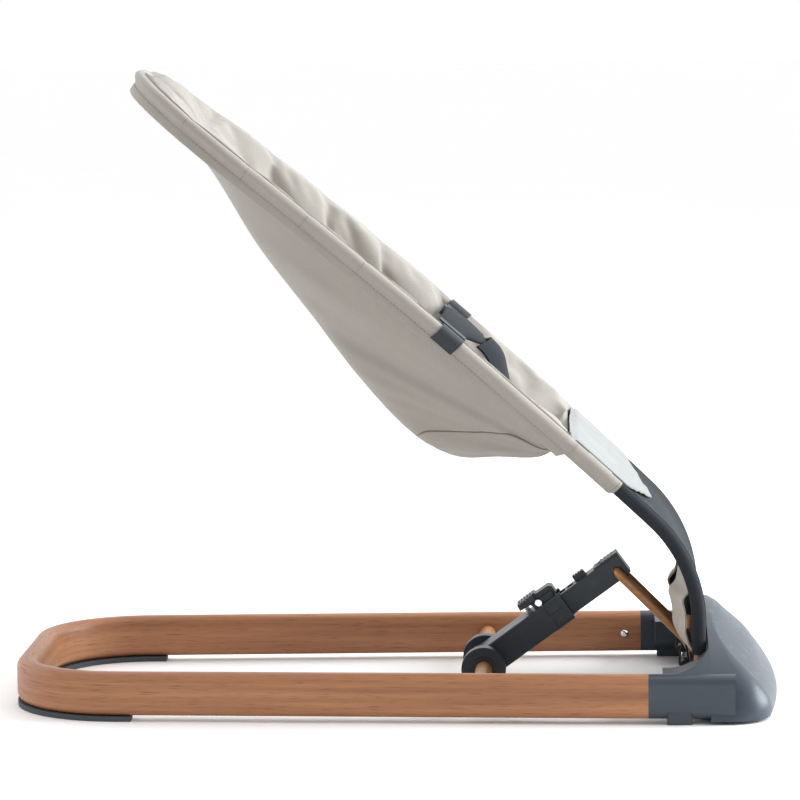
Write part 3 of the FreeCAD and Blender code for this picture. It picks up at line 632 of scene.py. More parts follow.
@dataclass(frozen=True)
class WebbingFinish:
    """Ribbed woven tape or cord."""

    name: str
    light: Colour
    dark: Colour
    rib: float = 0.0012

    def build(self) -> bpy.types.Material:
        """Makes the material."""
        made, graph, shader, place = start_material(self.name)
        weave = use_group(graph, "plain_weave", place.outputs["UV"])
        weave.inputs["Pitch"].default_value = self.rib
        shade = graph.mix(weave.outputs["Threads"], self.dark, self.light)
        graph.link(shade, shader.inputs["Base Color"])
        shader.inputs["Roughness"].default_value = 0.7
        shader.inputs["Sheen Weight"].default_value = 0.15
        bump(graph, shader, weave.outputs["Threads"], 0.0003)
        return made


class Finishes:
    """Every finish of the object, built once and looked up by slot."""

    def __init__(self) -> None:
        """Builds the materials."""
        table = {
            Slot.WOOD: WoodFinish("walnut_film", (0.45, 0.205, 0.098), (0.265, 0.108, 0.050)),
            Slot.SLATE: MouldedFinish("slate_moulding", (0.037, 0.050, 0.068),
                                      (0.030, 0.041, 0.056), 0.40),
            Slot.DARK: MouldedFinish("dark_moulding", (0.022, 0.031, 0.043),
                                     (0.016, 0.023, 0.032), 0.40),
            Slot.RUBBER: MouldedFinish("slate_rubber", (0.060, 0.068, 0.078),
                                       (0.045, 0.052, 0.060), 0.75, 0.00012),
            Slot.COPPER: MetalFinish("copper_lacquer", (0.52, 0.26, 0.105), (0.37, 0.17, 0.068),
                                     0.34, 0.25, (14, 420, 420), 0.2),
            Slot.STEEL: MetalFinish("zinc_plate", (0.66, 0.66, 0.68), (0.50, 0.50, 0.53), 0.3),
            Slot.CHROME: MetalFinish("chrome_plate", (0.86, 0.86, 0.88), (0.76, 0.76, 0.79), 0.1),
            Slot.BRASS: MetalFinish("turned_brass", (0.74, 0.56, 0.27), (0.60, 0.44, 0.20), 0.3),
            Slot.ACETAL: MouldedFinish("bearing_plastic", (0.020, 0.023, 0.027),
                                       (0.013, 0.015, 0.018), 0.45),
            Slot.TAUPE: ClothFinish("taupe_cloth", (0.360, 0.330, 0.295), (0.300, 0.274, 0.243)),
            Slot.GREY: ClothFinish("pale_grey_cloth", (0.285, 0.29, 0.285), (0.23, 0.235, 0.23)),
            Slot.BEIGE: ClothFinish("beige_lining", (0.56, 0.52, 0.45), (0.47, 0.43, 0.37)),
            Slot.ANTHRACITE: ClothFinish("anthracite_cloth", (0.021, 0.025, 0.031),
                                         (0.013, 0.016, 0.020), 0.0009, 0.03),
            Slot.WEBBING: WebbingFinish("dark_webbing", (0.020, 0.025, 0.032),
                                        (0.009, 0.012, 0.016)),
            Slot.ELASTIC: WebbingFinish("black_elastic", (0.030, 0.030, 0.032),
                                        (0.012, 0.012, 0.013), 0.0008),
        }
        self.made = {slot: finish.build() for slot, finish in table.items()}
        self.thread = ClothFinish("sewing_thread", (0.20, 0.17, 0.14), (0.15, 0.125, 0.10),
                                  0.0004).build()

    def __getitem__(self, slot: Slot) -> bpy.types.Material:
        """The material of a slot."""
        return self.made[slot]

    def dress_nodes(self) -> None:
        """Gives every CAD node the finish of its slot."""
        for part in frame["record"]["subparts"]:
            node = frame["nodes"][part["node"]]
            node.data.materials.clear()
            node.data.materials.append(self.made[Slot(part["material_slot"])])


# ---------------------------------------------------------------- the seat's geometry
@dataclass(frozen=True)
class SeatShape:
    """Side profile, half widths and depth of the seat, in metres, from its driving sizes."""

    head: tuple[float, float] = (-0.251, 0.613)
    start_angle: float = math.radians(37.3)
    back_radius: float = 6.0
    back_length: float = 0.659
    bend_radius: float = 0.140
    head_length: float = 0.150
    head_radius: float = 0.1475
    tube_radius: float = 0.005
    # distance along the profile, half width there
    widths: tuple[tuple[float, float], ...] = (
        (0.150, 0.1475), (0.215, 0.151), (0.300, 0.1525), (0.480, 0.150),
         (0.572, 0.138), (0.668, 0.129),
        (0.772, 0.121), (1.2, 0.121))
    # x, drop of the middle below the frame, half width at the seam, rise of the seam
    depths: tuple[tuple[float, float, float, float], ...] = (
        (-0.251, 0.008, 0.020, 0.001), (-0.222, 0.016, 0.060, 0.003), (-0.180, 0.030, 0.090, 0.005),
        (-0.131, 0.074, 0.098, 0.007), (-0.079, 0.103, 0.100, 0.008), (-0.017, 0.132, 0.100, 0.009),
        (0.028, 0.139, 0.101, 0.012), (0.060, 0.128, 0.102, 0.020), (0.100, 0.093, 0.102, 0.020),
        (0.140, 0.057, 0.100, 0.018), (0.165, 0.022, 0.096, 0.008), (0.182, 0.010, 0.090, 0.002))

    def profile(self, s: float) -> tuple[float, float, float]:
        """x, z and the angle below level, at a distance s along the profile."""
        first = min(s, self.back_length)
        angle = self.start_angle + first / self.back_radius
        x = self.head[0] + self.back_radius * (math.sin(angle) - math.sin(self.start_angle))
        z = self.head[1] + self.back_radius * (math.cos(angle) - math.cos(self.start_angle))
        rest = s - first
        if rest > 0:
            bend = min(rest, self.bend_radius * (math.pi / 2 - angle))
            bent = angle + bend / self.bend_radius
            x += self.bend_radius * (math.sin(bent) - math.sin(angle))
            z += self.bend_radius * (math.cos(bent) - math.cos(angle)) - (rest - bend)
            angle = bent
        return x, z, angle

    def distance_at(self, x: float) -> float:
        """Distance along the straight part of the profile for an x."""
        sine = math.sin(self.start_angle) + (x - self.head[0]) / self.back_radius
        return (math.asin(sine) - self.start_angle) * self.back_radius

    def distance_down(self, z: float) -> float:
        """Distance along the profile for a height on its upright lower end."""
        return 0.9 + self.profile(0.9)[1] - z

    def normal(self, s: float) -> Vector:
        """Direction out of the seat's upper side."""
        angle = self.profile(s)[2]
        return Vector((math.sin(angle), 0, math.cos(angle)))

    def half_width(self, s: float) -> float:
        """Half width of the frame at its tube's centre."""
        if s < self.head_length:
            share = (self.head_length - s) / self.head_radius
            return self.head_radius * math.sqrt(max(0.0, 1 - share * share))
        for (s0, w0), (s1, w1) in zip(self.widths, self.widths[1:]):
            if s <= s1:
                return w0 + (w1 - w0) * (s - s0) / (s1 - s0)
        return self.widths[-1][1]

    def on_frame(self, s: float, y: float, lift: float = 0.0) -> Vector:
        """A point of the seat's plane, lifted along its normal."""
        x, z, _ = self.profile(s)
        return Vector((x, y, z)) + self.normal(s) * lift

    def route(self, run: float) -> tuple[float, float]:
        """Distance s and side position y of the tube, for a length run from the head's tip."""
        quarter = self.head_radius * math.pi / 2
        sign = 1.0 if run >= 0 else -1.0
        length = abs(run)
        if length < quarter:
            angle = length / self.head_radius
            s = self.head_length - self.head_radius * math.cos(angle)
            return s, sign * self.head_radius * math.sin(angle)
        s = self.head_length + length - quarter
        return s, sign * self.half_width(s)

    def run_of(self, s: float) -> float:
        """Length along the tube from the head's tip, for a distance s past the head."""
        if s < self.head_length:
            return self.head_radius * math.acos((self.head_length - s) / self.head_radius)
        return self.head_radius * math.pi / 2 + s - self.head_length

    def tube_frame(self, run: float) -> tuple[Vector, Vector, Vector]:
        """Centre of the tube, direction out of the seat's side and the seat's normal."""
        s, y = self.route(run)
        centre = self.on_frame(s, y)
        ahead_s, ahead_y = self.route(run + 1e-3)
        behind_s, behind_y = self.route(run - 1e-3)
        along = (self.on_frame(ahead_s, ahead_y) - self.on_frame(behind_s, behind_y)).normalized()
        up = self.normal(s)
        out = along.cross(up).normalized()
        if out.y * y < 0 or (abs(y) < 1e-6 and out.x > 0):
            out = -out
        return centre, out, up

    def depth(self, s: float) -> tuple[float, float, float]:
        """Drop of the cover's middle, half width at its seam and rise of the seam."""
        x = self.profile(s)[0]
        return tuple(along_table(self.depths, x, k) for k in (1, 2, 3))


SHAPE = SeatShape()


# ---------------------------------------------------------------- floor base
@dataclass
class FloorBase:
    """U-shaped tube of the base, with its film's grain running along it."""

    finishes: Finishes
    front_x: float = 0.2435
    rear_x: float = -0.363
    half_front: float = 0.1895
    half_rear: float = 0.1633
    centre_z: float = 0.026
    half_height: float = 0.021
    half_width: float = 0.0105
    edge: float = 0.009
    corner: float = 0.100
    wall: float = 0.0016
    film_rows: int = 150
    name: str = "walnut_base_tube"

    def centre_line(self, run: float, straight: float, turn: float) -> tuple[Vector, Vector]:
        """Centre and outward direction at a run from the left end.

        Args:
            run: length along the tube's centre.
            straight: length of one side rail up to its bend.
            turn: angle of one bend, in radians.

        Returns:
            The centre and the direction out of the U.
        """
        heading = Vector((self.rear_x - self.front_x, self.half_rear - self.half_front, 0))
        heading.normalize()
        side = Vector((-heading.y, heading.x, 0)) * -1
        start = Vector((self.front_x, self.half_front, self.centre_z))
        if run <= straight:
            return start + heading * run, side
        bend = self.corner * turn
        pivot = start + heading * straight - side * self.corner
        angle = min(run - straight, bend) / self.corner
        out = Matrix.Rotation(angle, 3, "Z") @ side
        centre = pivot + out * self.corner
        rest = run - straight - bend
        if rest > 0:
            centre = centre + (Matrix.Rotation(turn, 3, "Z") @ heading) * rest
        return centre, out

    def outline(self, share: float, inset: float) -> tuple[float, float, float]:
        """Rounded section: out, up and length round it, for a share of the way round."""
        wide, tall = self.half_width - inset, self.half_height - inset
        radius = max(0.001, self.edge - inset)
        runs = []
        for cx, cz, start in ((1, 1, 0), (-1, 1, 90), (-1, -1, 180), (1, -1, 270)):
            runs.append((cx * (wide - radius), cz * (tall - radius), start))
        flats = [2 * (wide - radius), 2 * (tall - radius)] * 2
        arc = radius * math.pi / 2
        total = 4 * arc + sum(flats)
        left = share * total
        for index, (px, pz, start) in enumerate(runs):
            if left <= arc:
                angle = math.radians(start) + left / radius
                return px + radius * math.cos(angle), pz + radius * math.sin(angle), share * total
            left -= arc
            if left <= flats[index]:
                angle = math.radians(start + 90)
                x, z = px + radius * math.cos(angle), pz + radius * math.sin(angle)
                heading = angle + math.pi / 2
                return x + left * math.cos(heading), z + left * math.sin(heading), share * total
            left -= flats[index]
        return runs[0][0] + radius, runs[0][1], total

    def build(self) -> bpy.types.Object:
        """Makes the tube as a sweep with caps."""
        slope = math.atan2(self.half_front - self.half_rear, self.front_x - self.rear_x)
        turn = math.pi / 2 - slope
        cut = self.corner * math.tan(turn / 2)
        rail = math.hypot(self.front_x - self.rear_x, self.half_front - self.half_rear)
        straight = rail - cut
        half = straight + self.corner * turn + (self.half_rear - cut)

        def skin(u: float, v: float) -> Vector:
            """Point of the skin by mirror, so both halves match."""
            run = v * 2 * half
            here = min(run, 2 * half - run)
            centre, out = self.centre_line(here, straight, turn)
            x, z, _ = self.outline(u, 0.0)
            point = centre + out * x + Vector((0, 0, z))
            if run > half:
                point.y = -point.y
            return point

        around = 2 * (2 * self.half_width + 2 * self.half_height) * 0.86
        piece = Piece(self.name).surface(44, self.film_rows, skin, (around, 2 * half), True)
        for face in piece.bm.faces:
            for loop in face.loops:
                u, v = loop[piece.uv].uv
                loop[piece.uv].uv = (v, u)
        ends = [e for e in piece.bm.edges if e.is_boundary]
        inner = bmesh.ops.extrude_edge_only(piece.bm, edges=ends)
        for vert in [g for g in inner["geom"] if isinstance(g, bmesh.types.BMVert)]:
            side = 1.0 if vert.co.y > 0 else -1.0
            middle = Vector((self.front_x, side * self.half_front, self.centre_z))
            vert.co = middle + (vert.co - middle) * (1 - self.wall / self.half_width)
        piece.close()
        return piece.finish(Body.BASE, Slot.WOOD, self.finishes[Slot.WOOD], ["base_tube"])


# ---------------------------------------------------------------- seat frame casing
@dataclass
class FrameCasing:
    """Cloth sleeve sewn round the seat's tube, with a stitched hem under it."""

    finishes: Finishes
    radius: float = 0.0065
    hem_end: float = 0.0172
    thigh_start: float = 0.552
    dark_start: float = 0.612
    bottom_z: float = 0.0545
    stitch_depth: float = 0.0088
    channels: tuple[float, ...] = (0.074, 0.147, 0.219, 0.288)
    stitch_pitch: float = 0.0042

    def tail(self, s: float) -> float:
        """How far the casing reaches below the tube's centre."""
        upper = self.hem_end
        if s > self.thigh_start:
            upper = 0.0105
        lower = 0.0072
        near_dark = blend_step(self.dark_start - 0.004, self.dark_start, s)
        end = blend_step(self.thigh_start - 0.004, self.thigh_start, s)
        mixed = self.hem_end + (0.0105 - self.hem_end) * end
        return mixed + (lower - 0.0105) * near_dark if s > self.thigh_start else min(upper, mixed)

    def half_thickness(self, depth: float, tail: float) -> float:
        """Half thickness of the casing at a depth below the tube's centre."""
        if depth <= 0:
            return math.sqrt(max(0.0, self.radius ** 2 - depth ** 2))
        if tail < 0.0095:
            share = min(1.0, depth / tail)
            return self.radius * math.sqrt(max(0.0, 1 - share ** 2.4))
        neck = 0.0075
        slim = 0.0016
        body = slim + (self.radius - slim) * (1 - blend_step(0.0, neck, depth))
        groove = 0.0007 * math.exp(-((depth - self.stitch_depth) / 0.0007) ** 2)
        fade = math.sqrt(max(0.0, 1 - max(0.0, (depth - tail + slim) / slim) ** 2))
        return (body - groove) * fade

    def build(self) -> None:
        """Makes the taupe casing, the dark casing on the legs and the stitches."""
        bottom = SHAPE.distance_down(self.bottom_z)
        split = SHAPE.run_of(self.dark_start)
        self.sleeve("seat_frame_casing", -split, split, 300, Slot.TAUPE,
                    ["frame_sleeve"])
        for side, name in ((1, "left"), (-1, "right")):
            low, high = SHAPE.run_of(self.dark_start) + 0.0004, SHAPE.run_of(bottom)
            self.sleeve("leg_casing_" + name, side * low, side * high, 90, Slot.ANTHRACITE, [])
        self.stitches()

    def sleeve(self, name: str, start: float, end: float, rows: int, slot: Slot,
               replaces: Sequence[str]) -> None:
        """Sweeps the casing's section along a stretch of the tube.

        Args:
            name: the piece's name.
            start: run at its first end.
            end: run at its other end.
            rows: faces along it.
            slot: the cloth.
            replaces: CAD nodes that it stands for.
        """
        def place(u: float, v: float) -> Vector:
            """Point of the casing."""
            run = start + (end - start) * v
            s = SHAPE.route(run)[0]
            centre, out, up = SHAPE.tube_frame(run)
            tail = self.tail(s)
            upper = math.pi * u * 2
            reach = 0.5 * (1 - math.cos(upper))
            depth = -self.radius + (self.radius + tail) * reach
            half = self.half_thickness(depth, tail)
            offset = half if u < 0.5 else -half
            pucker = sum(math.exp(-((s - c) / 0.004) ** 2) for c in self.channels)
            depth += 0.0005 * pucker * (1 - blend_step(-0.006, 0.004, depth))
            wave = noise.noise(Vector((run * 22, depth * 60, 3.0))) * 0.0006
            slack = wave * (1.0 if half > 0.0004 else 0.3)
            return centre + out * (offset + slack) - up * depth

        size = (0.05, abs(end - start))
        piece = Piece(name).surface(44, rows, place, size, True)
        piece.close().finish(Body.SEAT, slot, self.finishes[slot], replaces, 60.0)

    def stitches(self) -> None:
        """Rows of stitches: along the hem on both faces, and across the casing at each channel."""
        piece = Piece("casing_stitches")
        limit = SHAPE.run_of(self.thigh_start - 0.006)
        count = int(2 * limit / self.stitch_pitch)
        for index in range(count):
            run = -limit + index * self.stitch_pitch
            for face in (1, -1):
                self.stitch(piece, run, face, self.stitch_depth, True)
        for s in self.channels + (self.thigh_start + 0.002, self.dark_start - 0.003):
            for side in (1, -1):
                run = side * SHAPE.run_of(s)
                for k in range(6):
                    self.stitch(piece, run, 1, -0.004 + k * 0.0026, False)
        piece.outward().finish(Body.SEAT, Slot.TAUPE, self.finishes.thread)

    def stitch(self, piece: Piece, run: float, face: int, depth: float, along: bool) -> None:
        """Adds one stitch, a small elongated bead.

        Args:
            piece: the stitches so far.
            run: place along the tube.
            face: 1 on the outside, -1 on the inside.
            depth: place below the tube's centre.
            along: True if it runs along the tube, False if across it.
        """
        s = SHAPE.route(run)[0]
        centre, out, up = SHAPE.tube_frame(run)
        half = self.half_thickness(depth, self.tail(s))
        place = centre + out * (face * (half + 0.0001)) - up * depth
        length = (0.0014, 0.00032, 0.00032)
        direction = out.cross(up) if along else up
        turn = direction.to_track_quat("X", "Z").to_matrix().to_4x4()
        matrix = Matrix.Translation(place) @ turn @ Matrix.Diagonal((*length, 1))
        bmesh.ops.create_icosphere(piece.bm, subdivisions=1, radius=1.0, matrix=matrix)


# ---------------------------------------------------------------- sewn cover
@dataclass
class SeatCover:
    """Hanging cover of the seat, its quilted lining and the panels towards the legs."""

    finishes: Finishes
    start: float = 0.030
    end: float = 0.575
    wall: float = 0.0016
    channels: tuple[float, ...] = (0.076, 0.149, 0.221, 0.291, 0.386)
    pad_start: float = 0.006
    pad_end: float = 0.548
    pad_depth: float = 0.009
    puff: float = 0.010
    thigh_end: float = 0.616
    tongue: float = 0.040
    leg_bottom: float = 0.0635

    def build(self) -> None:
        """Makes every panel of the cover."""
        self.hanging_cover()
        self.gusset_seam()
        self.quilted_lining()
        self.thigh()
        self.leg()
        self.flaps()

    def outer_corners(self, s: float, lift: float) -> list[Vector]:
        """Edge, seam, middle and mirrored points of the cover's section.

        Args:
            s: distance along the seat.
            lift: how far inside the outer face, in metres.

        Returns:
            The five corners from the left edge to the right edge.
        """
        x, z, _ = SHAPE.profile(s)
        drop, seam_half, rise = SHAPE.depth(s)
        half = SHAPE.half_width(s)
        edge = SHAPE.on_frame(s, half - 0.0006, -0.0145 + 0.0065 * blend_step(0.544, 0.556, s))
        seam_half = min(seam_half, 0.9 * half)
        seam = Vector((x, seam_half - 0.8 * lift, z - max(drop, 0.012) + rise + 0.7 * lift))
        middle = Vector((x, 0, z - max(drop, 0.012) + lift))
        edge = edge + Vector((0, -0.9 * lift, 0))
        flip = Vector((1, -1, 1))
        return [edge, seam, middle, seam * flip, edge * flip]

    def folds(self, s: float, u: float, point: Vector) -> float:
        """Depth of the soft folds that fan out over the sides from the front lower corner.

        Args:
            s: distance along the seat.
            u: share of the way round the section.
            point: the smooth cover's point there.

        Returns:
            How far the cloth stands out.
        """
        side = min(u, 1 - u) * 2
        fade = math.sin(math.pi * min(1.0, side / 0.66)) if side < 0.66 else 0.0
        gap = Vector((0.185 - point.x, point.z - 0.232))
        angle, reach = math.atan2(gap.y, gap.x), gap.length
        ridge = noise.noise(Vector((angle * 8.5, reach * 2.4, 2.0 if u < 0.5 else 9.0)))
        ridge += 0.45 * noise.noise(Vector((angle * 21.0, reach * 4.0, 5.0 if u < 0.5 else 12.0)))
        body = blend_step(0.10, 0.24, s) * (1 - blend_step(0.47, 0.55, s))
        return (0.004 + 0.018 * reach) * ridge * fade * body

    def outer_point(self, s: float, u: float) -> Vector:
        """A point of the cover's outer face, folds included."""
        point = rounded_run(self.outer_corners(s, 0.0), u, 0.055)
        side = 1.0 if u < 0.5 else -1.0
        return point + Vector((0, side, -0.35)) * self.folds(s, u, point)

    def hanging_cover(self) -> None:
        """Back, sides and bottom of the cover, one shell that hangs from the casing."""
        def place(u: float, v: float) -> Vector:
            """Point of the outer face."""
            return self.outer_point(self.start + (self.end - self.start) * v, u)

        piece = Piece("hanging_cover").surface(96, 150, place, (0.5, self.end - self.start))
        piece.outward()
        middle = min(piece.bm.faces, key=lambda f: f.calc_center_median().z)
        if middle.normal.z > 0:
            bmesh.ops.reverse_faces(piece.bm, faces=piece.bm.faces[:])
        bmesh.ops.solidify(piece.bm, geom=piece.bm.faces[:], thickness=self.wall)
        made = piece.outward().finish(
            Body.SEAT, Slot.TAUPE, self.finishes[Slot.TAUPE],
            ["sling_back", "sling_side_left", "sling_side_right", "seat_bottom_panel"], 70.0)

    def gusset_seam(self) -> None:
        """Welted seam where the seat's bottom panel joins the sides and the back."""
        first, last = SHAPE.distance_at(0.010), SHAPE.distance_at(0.158)

        def side_share(s: float) -> float:
            """How far round the cover the seam's height is reached."""
            x = SHAPE.profile(s)[0]
            height = 0.2690 - 0.012 * (1 - blend_step(0.008, 0.034, x))
            height -= 0.021 * blend_step(0.110, 0.160, x)
            low, high = 0.02, 0.5
            for _ in range(18):
                middle = (low + high) / 2
                above = self.outer_point(s, middle).z > height
                low, high = (middle, high) if above else (low, middle)
            return low

        rear = side_share(first)

        def line(share: float) -> Vector:
            """Point of the seam, from the left front corner round the back to the right."""
            if 0.42 <= share <= 0.58:
                return self.outer_point(first, rear + (1 - 2 * rear) * (share - 0.42) / 0.16)
            side = min(share, 1 - share) / 0.42
            s = last + (first - last) * side
            u = side_share(s)
            return self.outer_point(s, u if share < 0.5 else 1 - u)

        def place(u: float, v: float) -> Vector:
            """Point of the welt."""
            here, ahead = line(v), line(min(1.0, v + 0.004))
            if v > 0.995:
                here, ahead = line(v - 0.004), line(v)
            along = (ahead - here).normalized()
            out = Vector((0, here.y, -0.02)).normalized()
            side = along.cross(out).normalized()
            angle = 2 * math.pi * u
            base = line(v)
            return base + (out * math.cos(angle) * 0.8 + side * math.sin(angle)) * 0.0009

        piece = Piece("gusset_welt").surface(8, 160, place, (0.006, 0.5), True)
        piece.close().finish(Body.SEAT, Slot.TAUPE, self.finishes.thread)

    def lining_corners(self, s: float) -> list[Vector]:
        """Corners of the lining's top face across the seat."""
        x, z, _ = SHAPE.profile(s)
        drop, seam_half, rise = SHAPE.depth(s)
        half = SHAPE.half_width(s)
        rim = SHAPE.on_frame(s, max(0.002, half - 0.0012), 0.0068)
        pinch = 0.016 * blend_step(0.350, 0.378, s) * (1 - blend_step(0.412, 0.440, s))
        shoulder = SHAPE.on_frame(s, max(0.0018, half - 0.0125), 0.0010 - pinch)
        lift = 0.0032 + self.pad_depth
        seam_y = min(seam_half - 0.008, half - 0.016)
        depth = max(drop, 0.018)
        seam = Vector((x, max(0.0015, seam_y), z - depth + rise + lift + 0.002))
        middle = Vector((x, 0, z - depth + lift))
        flip = Vector((1, -1, 1))
        return [rim, shoulder, seam, middle, seam * flip, shoulder * flip, rim * flip]

    def pillow(self, s: float, u: float) -> float:
        """How far the lining puffs up: nothing at the channels and at the rim."""
        marks = (self.pad_start - 0.02,) + self.channels + (self.pad_end + 0.004,)
        gap = min(abs(s - mark) for mark in marks)
        rim = min(u, 1 - u)
        across = 0.45 + 0.55 * math.sqrt(min(1.0, rim / 0.05))
        return math.sqrt(min(1.0, gap / 0.032)) * across

    def quilted_lining(self) -> None:
        """Padded lining, puffed between its channels by cloth under pressure."""
        across, along = 84, 150
        length = self.pad_end - self.pad_start

        def row(v: float) -> float:
            """Distance along the seat, with closer rows round the head."""
            return self.pad_start + length * (0.35 * v * v + 0.65 * v)

        def top(u: float, v: float) -> Vector:
            """Point of the upper face."""
            s = row(v)
            point = rounded_run(self.lining_corners(s), u, 0.05)
            lift = self.pillow(s, u)
            groove = -0.0035 * (1 - min(1.0, lift * 1.6)) * min(1.0, min(u, 1 - u) / 0.03)
            inward = Vector((0, -point.y, 0))
            inward = inward.normalized() * 0.55 if inward.length > 0.02 else Vector((0, 0, 0))
            direction = (SHAPE.normal(s) + inward).normalized()
            return point + direction * (lift * self.puff * 0.5 + groove)

        def under(u: float, v: float) -> Vector:
            """Point of the lower face."""
            s = row(v)
            point = rounded_run(self.lining_corners(s), u, 0.05)
            edge = min(1.0, min(u, 1 - u) / 0.06, v / 0.03 + 0.1, (1 - v) / 0.03 + 0.1)
            outward = Vector((0, 1.0 if point.y > 0 else -1.0, 0))
            steep = 0.0 if abs(point.y) < 0.06 else 0.35
            return point - SHAPE.normal(s) * 0.0065 * edge + outward * steep * 0.0065 * edge

        piece = Piece("quilted_lining")
        layer = piece.bm.verts.layers.float.new("hold")
        piece.surface(across, along, top, (0.5, length))
        upper = set(piece.bm.verts)
        piece.surface(across, along, under, (0.5, length))
        for vert in piece.bm.verts:
            vert[layer] = 0.0 if vert in upper else 1.0
        rims = [e for e in piece.bm.edges if e.is_boundary]
        bmesh.ops.bridge_loops(piece.bm, edges=rims)
        piece.outward()
        made = piece.finish(Body.SEAT, Slot.TAUPE, self.finishes[Slot.TAUPE],
                            ["quilted_pad"], 75.0, ride=False)
        self.hold_seams(made, row, across, along)
        inflate(made, pressure=2.6, cap=0.010)
        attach(made, Body.SEAT.value)

    def hold_seams(self, made: bpy.types.Object, row: Callable[[float], float], across: int,
                   along: int) -> None:
        """Holds the underside, the rim and the channels still for the simulation.

        Args:
            made: the lining.
            row: gives the distance along the seat for a share of the rows.
            across: faces across the lining.
            along: faces along it.
        """
        group = made.vertex_groups.new(name="held")
        values = made.data.attributes["hold"].data
        scale = {}
        for vert in made.data.vertices:
            held = values[vert.index].value
            if held < 0.5:
                index = vert.index
                u, v = (index % (across + 1)) / across, (index // (across + 1)) / along
                lift = self.pillow(row(v), u)
                held = 1.0 if lift < 0.16 or not 0.02 < u < 0.98 or not 0.012 < v < 0.99 else 0.0
            scale[vert.index] = held
        for index, held in scale.items():
            if held > 0:
                group.add([index], held, "REPLACE")
        made.data.attributes.remove(made.data.attributes["hold"])

    def thigh(self) -> None:
        """Pale panel from the seat's front edge to its pointed lower edge."""
        first = self.pad_end - 0.001

        def place(u: float, v: float) -> Vector:
            """Point of the panel."""
            across = 2 * u - 1
            last = self.thigh_end + self.tongue * (1 - abs(across)) ** 0.9
            s = first + (last - first) * v
            half = SHAPE.half_width(s) + 0.0006
            sag = 0.0028 * (1 - across * across)
            crease = 0.0016 * noise.noise(Vector((s * 16, across * 5.0, 1.0)))
            crease += 0.0009 * noise.noise(Vector((s * 60, across * 9.0 + s * 40, 4.0)))
            edge = 1 - abs(across) ** 8
            lift = 0.0088 + (crease - sag) * edge - 0.0006 * abs(across) ** 8
            lift -= 0.0030 * (1 - blend_step(0.0, 0.09, v))
            return SHAPE.on_frame(s, across * half, lift)

        piece = Piece("thigh_cloth").surface(64, 40, place, (0.27, 0.10))
        piece.outward()
        if piece.bm.faces[:][0].normal.z < 0:
            bmesh.ops.reverse_faces(piece.bm, faces=piece.bm.faces[:])
        bmesh.ops.solidify(piece.bm, geom=piece.bm.faces[:], thickness=0.0014)
        made = piece.outward().finish(Body.SEAT, Slot.GREY, self.finishes[Slot.GREY],
                                      ["thigh_panel"], 70.0)

    def leg(self) -> None:
        """Dark panel down the legs, drawn tight between the casings."""
        bottom = SHAPE.distance_down(self.leg_bottom)
        first = self.thigh_end - 0.014

        def place(u: float, v: float) -> Vector:
            """Point of the panel."""
            across = 2 * u - 1
            s = first + (bottom - first) * v
            half = SHAPE.half_width(s) + 0.0006
            sag = (0.0022 + 0.0040 * math.sin(math.pi * v)) * (1 - across ** 4)
            crease = 0.0013 * noise.noise(Vector((s * 14, across * 4.0, 7.0)))
            return SHAPE.on_frame(s, across * half, 0.0070 - sag + crease * (1 - across ** 8))

        piece = Piece("leg_cloth").surface(56, 90, place, (0.25, bottom - first))
        piece.outward()
        if max(piece.bm.faces, key=lambda f: f.calc_center_median().z).normal.z < 0:
            bmesh.ops.reverse_faces(piece.bm, faces=piece.bm.faces[:])
        bmesh.ops.solidify(piece.bm, geom=piece.bm.faces[:], thickness=0.0014)
        made = piece.outward().finish(Body.SEAT, Slot.ANTHRACITE,
                                      self.finishes[Slot.ANTHRACITE], ["leg_panel"], 70.0)

    def flaps(self) -> None:
        """Beige lining flaps behind the leg panel, one each side of the bail."""
        outline = ((0.2780, 0.1340), (0.2755, 0.1140), (0.2665, 0.1045), (0.2712, 0.0890),
                   (0.2722, 0.0715), (0.2780, 0.0605), (0.2835, 0.0545))
        points = [Vector((x, 0, z)) for x, z in outline]
        for side, name in ((1, "left"), (-1, "right")):
            def place(u: float, v: float, side: int = side) -> Vector:
                """Point of the flap: v down it, u from its inner to its outer edge."""
                base = rounded_run(points, v, 0.05)
                y = 0.034 + (0.104 - 0.034) * u
                ripple = 0.0007 * math.sin(u * 9.0 + v * 3) * math.sin(math.pi * v)
                ripple += 0.0009 * noise.noise(Vector((u * 5, v * 8, 11.0 * side)))
                ripple += 0.0125 * u ** 1.6 * math.sin(math.pi * min(1.0, 0.25 + v * 0.6))
                return Vector((base.x + ripple, side * y, base.z))

            piece = Piece("lining_flap_" + name).surface(30, 44, place, (0.07, 0.09))
            piece.outward()
            bmesh.ops.solidify(piece.bm, geom=piece.bm.faces[:], thickness=0.0015)
            made = piece.outward().finish(Body.SEAT, Slot.BEIGE, self.finishes[Slot.BEIGE],
                                          ["lower_flap_" + name], 70.0)


